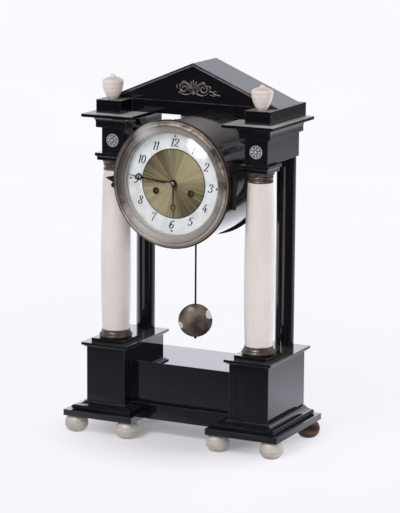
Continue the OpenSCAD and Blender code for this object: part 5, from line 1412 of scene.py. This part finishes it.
@dataclass
class Dial(Assembly):
    """Enamel ring with painted figures round a sunray centre, and the hands in front of it."""

    wears: Rows = (
        (WHITE_ENAMEL, "dial_ring"),
        (SUNRAY, "dial_centre"),
        (MOVEMENT_BRASS, "dial_plate"),
        (DARK_BUSH, "winding_collets"),
        (BLUED_STEEL, "minute_hand"),
        (BROWNED_STEEL, "hour_hand"),
    )
    face_y: float = -53.6 * MM
    figure_r: float = 49.6 * MM
    figure_h: float = 10.1 * MM
    slant: float = 0.28
    thick: float = 0.168
    thin: float = 0.06
    rising: float = 0.55
    ball: float = 0.075
    proud: float = 0.06 * MM
    dot_r: float = 57.4 * MM
    turn: float = 2.2
    dot_size: float = 1.6 * MM
    rays: int = 72
    ray_depth: float = 0.2 * MM
    sheet_t: float = 0.08 * MM
    sheet_sunk: float = 0.05 * MM
    sheet_in: float = 3.7 * MM
    sheet_out: float = 42.1 * MM
    winding_x: float = 23.3 * MM
    winding_drop: float = 10.3 * MM
    winding_r: float = 3.7 * MM
    pin_r: float = 2.8 * MM
    pin_flat: float = 0.3

    def paint(self, form: BMesh, outline: list[Point]) -> None:
        """Lays one flat patch of paint on the enamel."""
        prism(form, outline, self.face_y - self.proud, self.face_y + self.proud)

    def figure(self, form: BMesh, digit: Digit, at: Point) -> None:
        """Paints one figure on the enamel.

        Args:
            form: form that takes its strokes.
            digit: which figure.
            at: lower left corner of its box, X and Z.
        """
        strokes, balls = digit.value
        h = self.figure_h

        def on_dial(p: Point) -> Point:
            """Slants a point of the box and sets it on the dial."""
            return (at[0] + (p[0] + self.slant * (p[1] - 0.5)) * h, at[1] + p[1] * h)

        for stroke in strokes:
            line = smooth_path(list(stroke))
            widths = []
            for dx, dz in headings(line):
                upright = abs(dz) / (math.hypot(dx, dz) or 1.0)
                weight = 1.0 if dx * dz <= 0.01 or abs(dx) < 0.02 else self.rising
                widths.append((self.thin + (self.thick - self.thin) * weight * upright ** 2) * h)
            left, right = sides_of([on_dial(p) for p in line], widths)
            for quad in zip(left, left[1:], right[1:], right):
                self.paint(form, list(quad))
        for ball in balls:
            self.paint(form, circle(self.ball * h, 10, on_dial(ball)))

    def build_figures(self) -> None:
        """Paints the twelve hours and a small diamond at each quarter."""
        digits, h = list(Digit), self.figure_h
        form = bmesh.new()
        for hour in range(1, 13):
            a = math.radians(30 * hour + self.turn)
            word = [digits[int(c)] for c in str(hour)]
            steps = [0.4 if d is Digit.ONE else 0.6 for d in word]
            left = self.figure_r * math.sin(a) - sum(steps) / 2 * h
            for digit, step in zip(word, steps):
                shift = -0.1 if digit is Digit.ONE else 0.0
                self.figure(form, digit, (left + shift * h, DIAL_Z + self.figure_r * math.cos(a) - h / 2))
                left += step * h
        for quarter in range(4):
            a = math.radians(90 * quarter + self.turn)
            middle = (self.dot_r * math.sin(a), DIAL_Z + self.dot_r * math.cos(a))
            self.paint(form, circle(self.dot_size, 4, middle))
        piece("dial_figures", close_mesh("dial_figures", form, NUMERAL_PAINT))

    def build_rays(self) -> None:
        """Pleats the sunray sheet and pierces it for the winding squares."""
        sheet = grow("sunray_sheet", sunray_tree(), {
            "Rays": self.rays, "Inner": self.sheet_in, "Outer": self.sheet_out, "Thick": self.sheet_t,
            "Depth": self.ray_depth, "Material": SUNRAY.material(),
        })
        place = Facing.FRONT.at(0, self.face_y + self.sheet_sunk, DIAL_Z)
        blank = put("sunray_blank", settle([sheet], place, "sunray_sheet", SUNRAY))
        punch = bmesh.new()
        for side in (-1, 1):
            hole = circle(self.winding_r, 32, (side * self.winding_x, DIAL_Z - self.winding_drop))
            prism(punch, hole, self.face_y - 2 * MM, self.face_y + 2 * MM)
        cutter = put("punch", close_mesh("punch", punch, SUNRAY))
        cut = blank.modifiers.new("holes", "BOOLEAN")
        cut.operation, cut.object, cut.solver = "DIFFERENCE", cutter, "EXACT"
        pierced = baked(blank)
        clear_away(cutter, blank)
        piece("sunray_sheet", pierced)

    def build_pin(self) -> None:
        """Sets the polished end of the centre arbor on the minute hand's boss."""
        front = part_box("minute_hand")[0][1]
        form = bmesh.new()
        bmesh.ops.create_uvsphere(form, u_segments=24, v_segments=12, radius=self.pin_r)
        place = Facing.FRONT.at(0, front, DIAL_Z) @ Matrix.Diagonal((1.0, 1.0, self.pin_flat, 1.0))
        bmesh.ops.transform(form, matrix=place, verts=form.verts)
        piece("hands_pin", close_mesh("hands_pin", form, BRIGHT_PIN, smooth=True), "minute")


@dataclass
class Movement(Assembly):
    """Plates, wheels, barrels, bell and hammer."""

    wears: Rows = (
        (MOVEMENT_BRASS, "front_plate", "back_plate", "going_barrel", "strike_barrel", "centre_wheel", "third_wheel",
         "escape_wheel", "strike_wheel", "minute_wheel", "hour_wheel", "suspension", "fly", "bell_stand"),
        (STEEL, "cannon_pinion", "clicks", "anchor", "hammer"),
        (DARK_STEEL, "going_arbor", "strike_arbor"),
        (BELL_METAL, "bell"),
    )


@dataclass
class Pendulum(Assembly):
    """Rod and lens of the pendulum."""

    wears: Rows = ((BLUED_STEEL, "pendulum"), (CHIPPED_BOB, "pendulum_bob"))


@dataclass
class Studio:
    """Paper sweep, lamps and camera.

    Each lamp is a row of its name, place, aim, width and height, watts, tone, and whether polish mirrors it.
    """

    eye: Place = (1.3316, -2.6654, 0.8251)
    azimuth: float = 26.39
    elevation: float = 11.43
    roll: float = 0.39
    focal_px: float = 2492.5
    image_h: int = 513
    sensor: float = 36.0
    reach: float = 50.0
    near: float = -6.0
    flat: float = 0.6
    far: float = 3.0
    high: float = 3.2
    bend: float = 1.0
    half: float = 5.0
    card_at: Place = (-0.57, -2.79, 0.79)
    card_aim: Place = (0, -0.05, 0.32)
    card_half: Point = (0.42, 0.44)
    room: str = "#f7f6fb"
    room_level: Point = (0.21, 0.04)
    lamps: Rows = (
        ("overhead_box", (-0.3, -1.6, 2.2), (0, 0, 0.3), (0.8, 0.8), 29.0, "#ffffff", True),
        ("front_fill", (0.1, -3.0, 1.3), (0, 0, 0.25), (2.4, 1.8), 35.0, "#fbf9fb", False),
        ("side_fill", (2.4, 0.5, 0.9), (0, 0, 0.25), (1.6, 1.6), 28.0, "#fbf9fb", False),
        ("bay_fill", (0.9, 1.6, 0.5), (-0.1, 0, 0.2), (0.8, 0.8), 24.0, "#fbf9fb", False),
    )

    def camera(self) -> None:
        """Sets the camera at the photograph's angle."""
        az, el, ro = (math.radians(a) for a in (self.azimuth, self.elevation, self.roll))
        back = Vector((math.sin(az) * math.cos(el), -math.cos(az) * math.cos(el), math.sin(el)))
        right = Vector((math.cos(az), math.sin(az), 0))
        up = back.cross(right)
        x, y = right * math.cos(ro) + up * math.sin(ro), up * math.cos(ro) - right * math.sin(ro)
        lens = bpy.data.cameras.new("photo_camera")
        lens.sensor_fit, lens.sensor_height = "VERTICAL", self.sensor
        lens.lens = self.focal_px * self.sensor / self.image_h
        lens.clip_end = self.reach
        stand = put("photo_camera", lens)
        stand.matrix_world = Matrix.Translation(self.eye) @ Matrix((x, y, back)).transposed().to_4x4()
        bpy.context.scene.camera = stand

    def sweep(self) -> None:
        """Lays the paper: floor, a wide curve behind and a wall, square to the camera."""
        form, start, bend = bmesh.new(), self.far - self.bend, self.bend
        profile = [(self.near, 0.0), (-self.flat, 0.0), (self.flat, 0.0), (start, 0.0)]
        for angle in range(6, 91, 6):
            a = math.radians(angle)
            profile.append((start + bend * math.sin(a), bend - bend * math.cos(a)))
        profile.append((self.far, self.high))
        rows = [[form.verts.new((x, y, z)) for x in (-self.half, self.half)] for y, z in profile]
        for a, b in zip(rows, rows[1:]):
            form.faces.new((a[0], a[1], b[1], b[0]))
        paper = put("paper_sweep", close_mesh("paper_sweep", form, PAPER, smooth=True, closed=False))
        paper.matrix_world = Matrix.Rotation(math.radians(self.azimuth), 4, "Z")

    def card(self) -> None:
        """Hangs a glowing card with soft edges that only polish and glass show: the glare on the dial's glass."""
        form = bmesh.new()
        form.faces.new([form.verts.new((x, y, 0)) for x, y in ((-1, -1), (1, -1), (1, 1), (-1, 1))])
        hung = put("window_card", close_mesh("window_card", form, GLOW, closed=False))
        aim = Vector(self.card_aim) - Vector(self.card_at)
        hung.matrix_world = (
            Matrix.Translation(self.card_at) @ aim.to_track_quat("-Z", "Y").to_matrix().to_4x4()
            @ Matrix.Diagonal((*self.card_half, 1.0, 1.0))
        )
        hung.visible_camera = hung.visible_diffuse = hung.visible_shadow = False

    def light(self) -> None:
        """Sets the soft room light and hangs the lamps."""
        world = bpy.data.worlds.new("studio")
        world.use_nodes = True
        tree = world.node_tree
        tree.nodes.clear()
        seen = add(tree, "ShaderNodeLightPath", out="Is Camera Ray")
        glossy = add(tree, "ShaderNodeLightPath", out="Is Glossy Ray")
        plain, polished = self.room_level
        dim = add(tree, "ShaderNodeMapRange", {0: glossy, 1: 0.0, 2: 1.0, 3: plain, 4: polished})
        level = add(tree, "ShaderNodeMath", {0: seen, 1: dim}, operation="MAXIMUM")
        room = add(tree, "ShaderNodeBackground", {"Color": linear(self.room), "Strength": level})
        add(tree, "ShaderNodeOutputWorld", {"Surface": room}, out=None)
        bpy.context.scene.world = world
        for name, place, aim, size, watts, tone, mirrored in self.lamps:
            light = bpy.data.lights.new(name, "AREA")
            light.shape, light.size, light.size_y = "RECTANGLE", *size
            light.energy, light.color = watts, linear(tone)[:3]
            hung = put(name, light)
            hung.location = place
            hung.rotation_euler = (Vector(aim) - Vector(place)).to_track_quat("-Z", "Y").to_euler()
            hung.visible_glossy, hung.visible_camera = mirrored, False

    def build(self) -> None:
        """Sets view transform, camera, paper and light."""
        bpy.context.scene.view_settings.view_transform = "Standard"
        self.camera()
        self.sweep()
        self.light()
        self.card()


def main() -> None:
    """Builds and dresses the clock in order."""
    logging.basicConfig(level=logging.INFO, format="%(name)s: %(message)s")
    Studio().build()
    case, ornaments, dial = CaseWork(), Ornaments(), Dial()
    case.dress()
    case.build_beads()
    Columns().dress()
    ornaments.build_rosettes()
    ornaments.build_mount()
    ornaments.dress()
    ClockHead().dress()
    dial.dress()
    dial.build_figures()
    dial.build_rays()
    dial.build_pin()
    Movement().dress()
    Pendulum().dress()
    Screws().build()


if __name__ == "__main__":
    main()
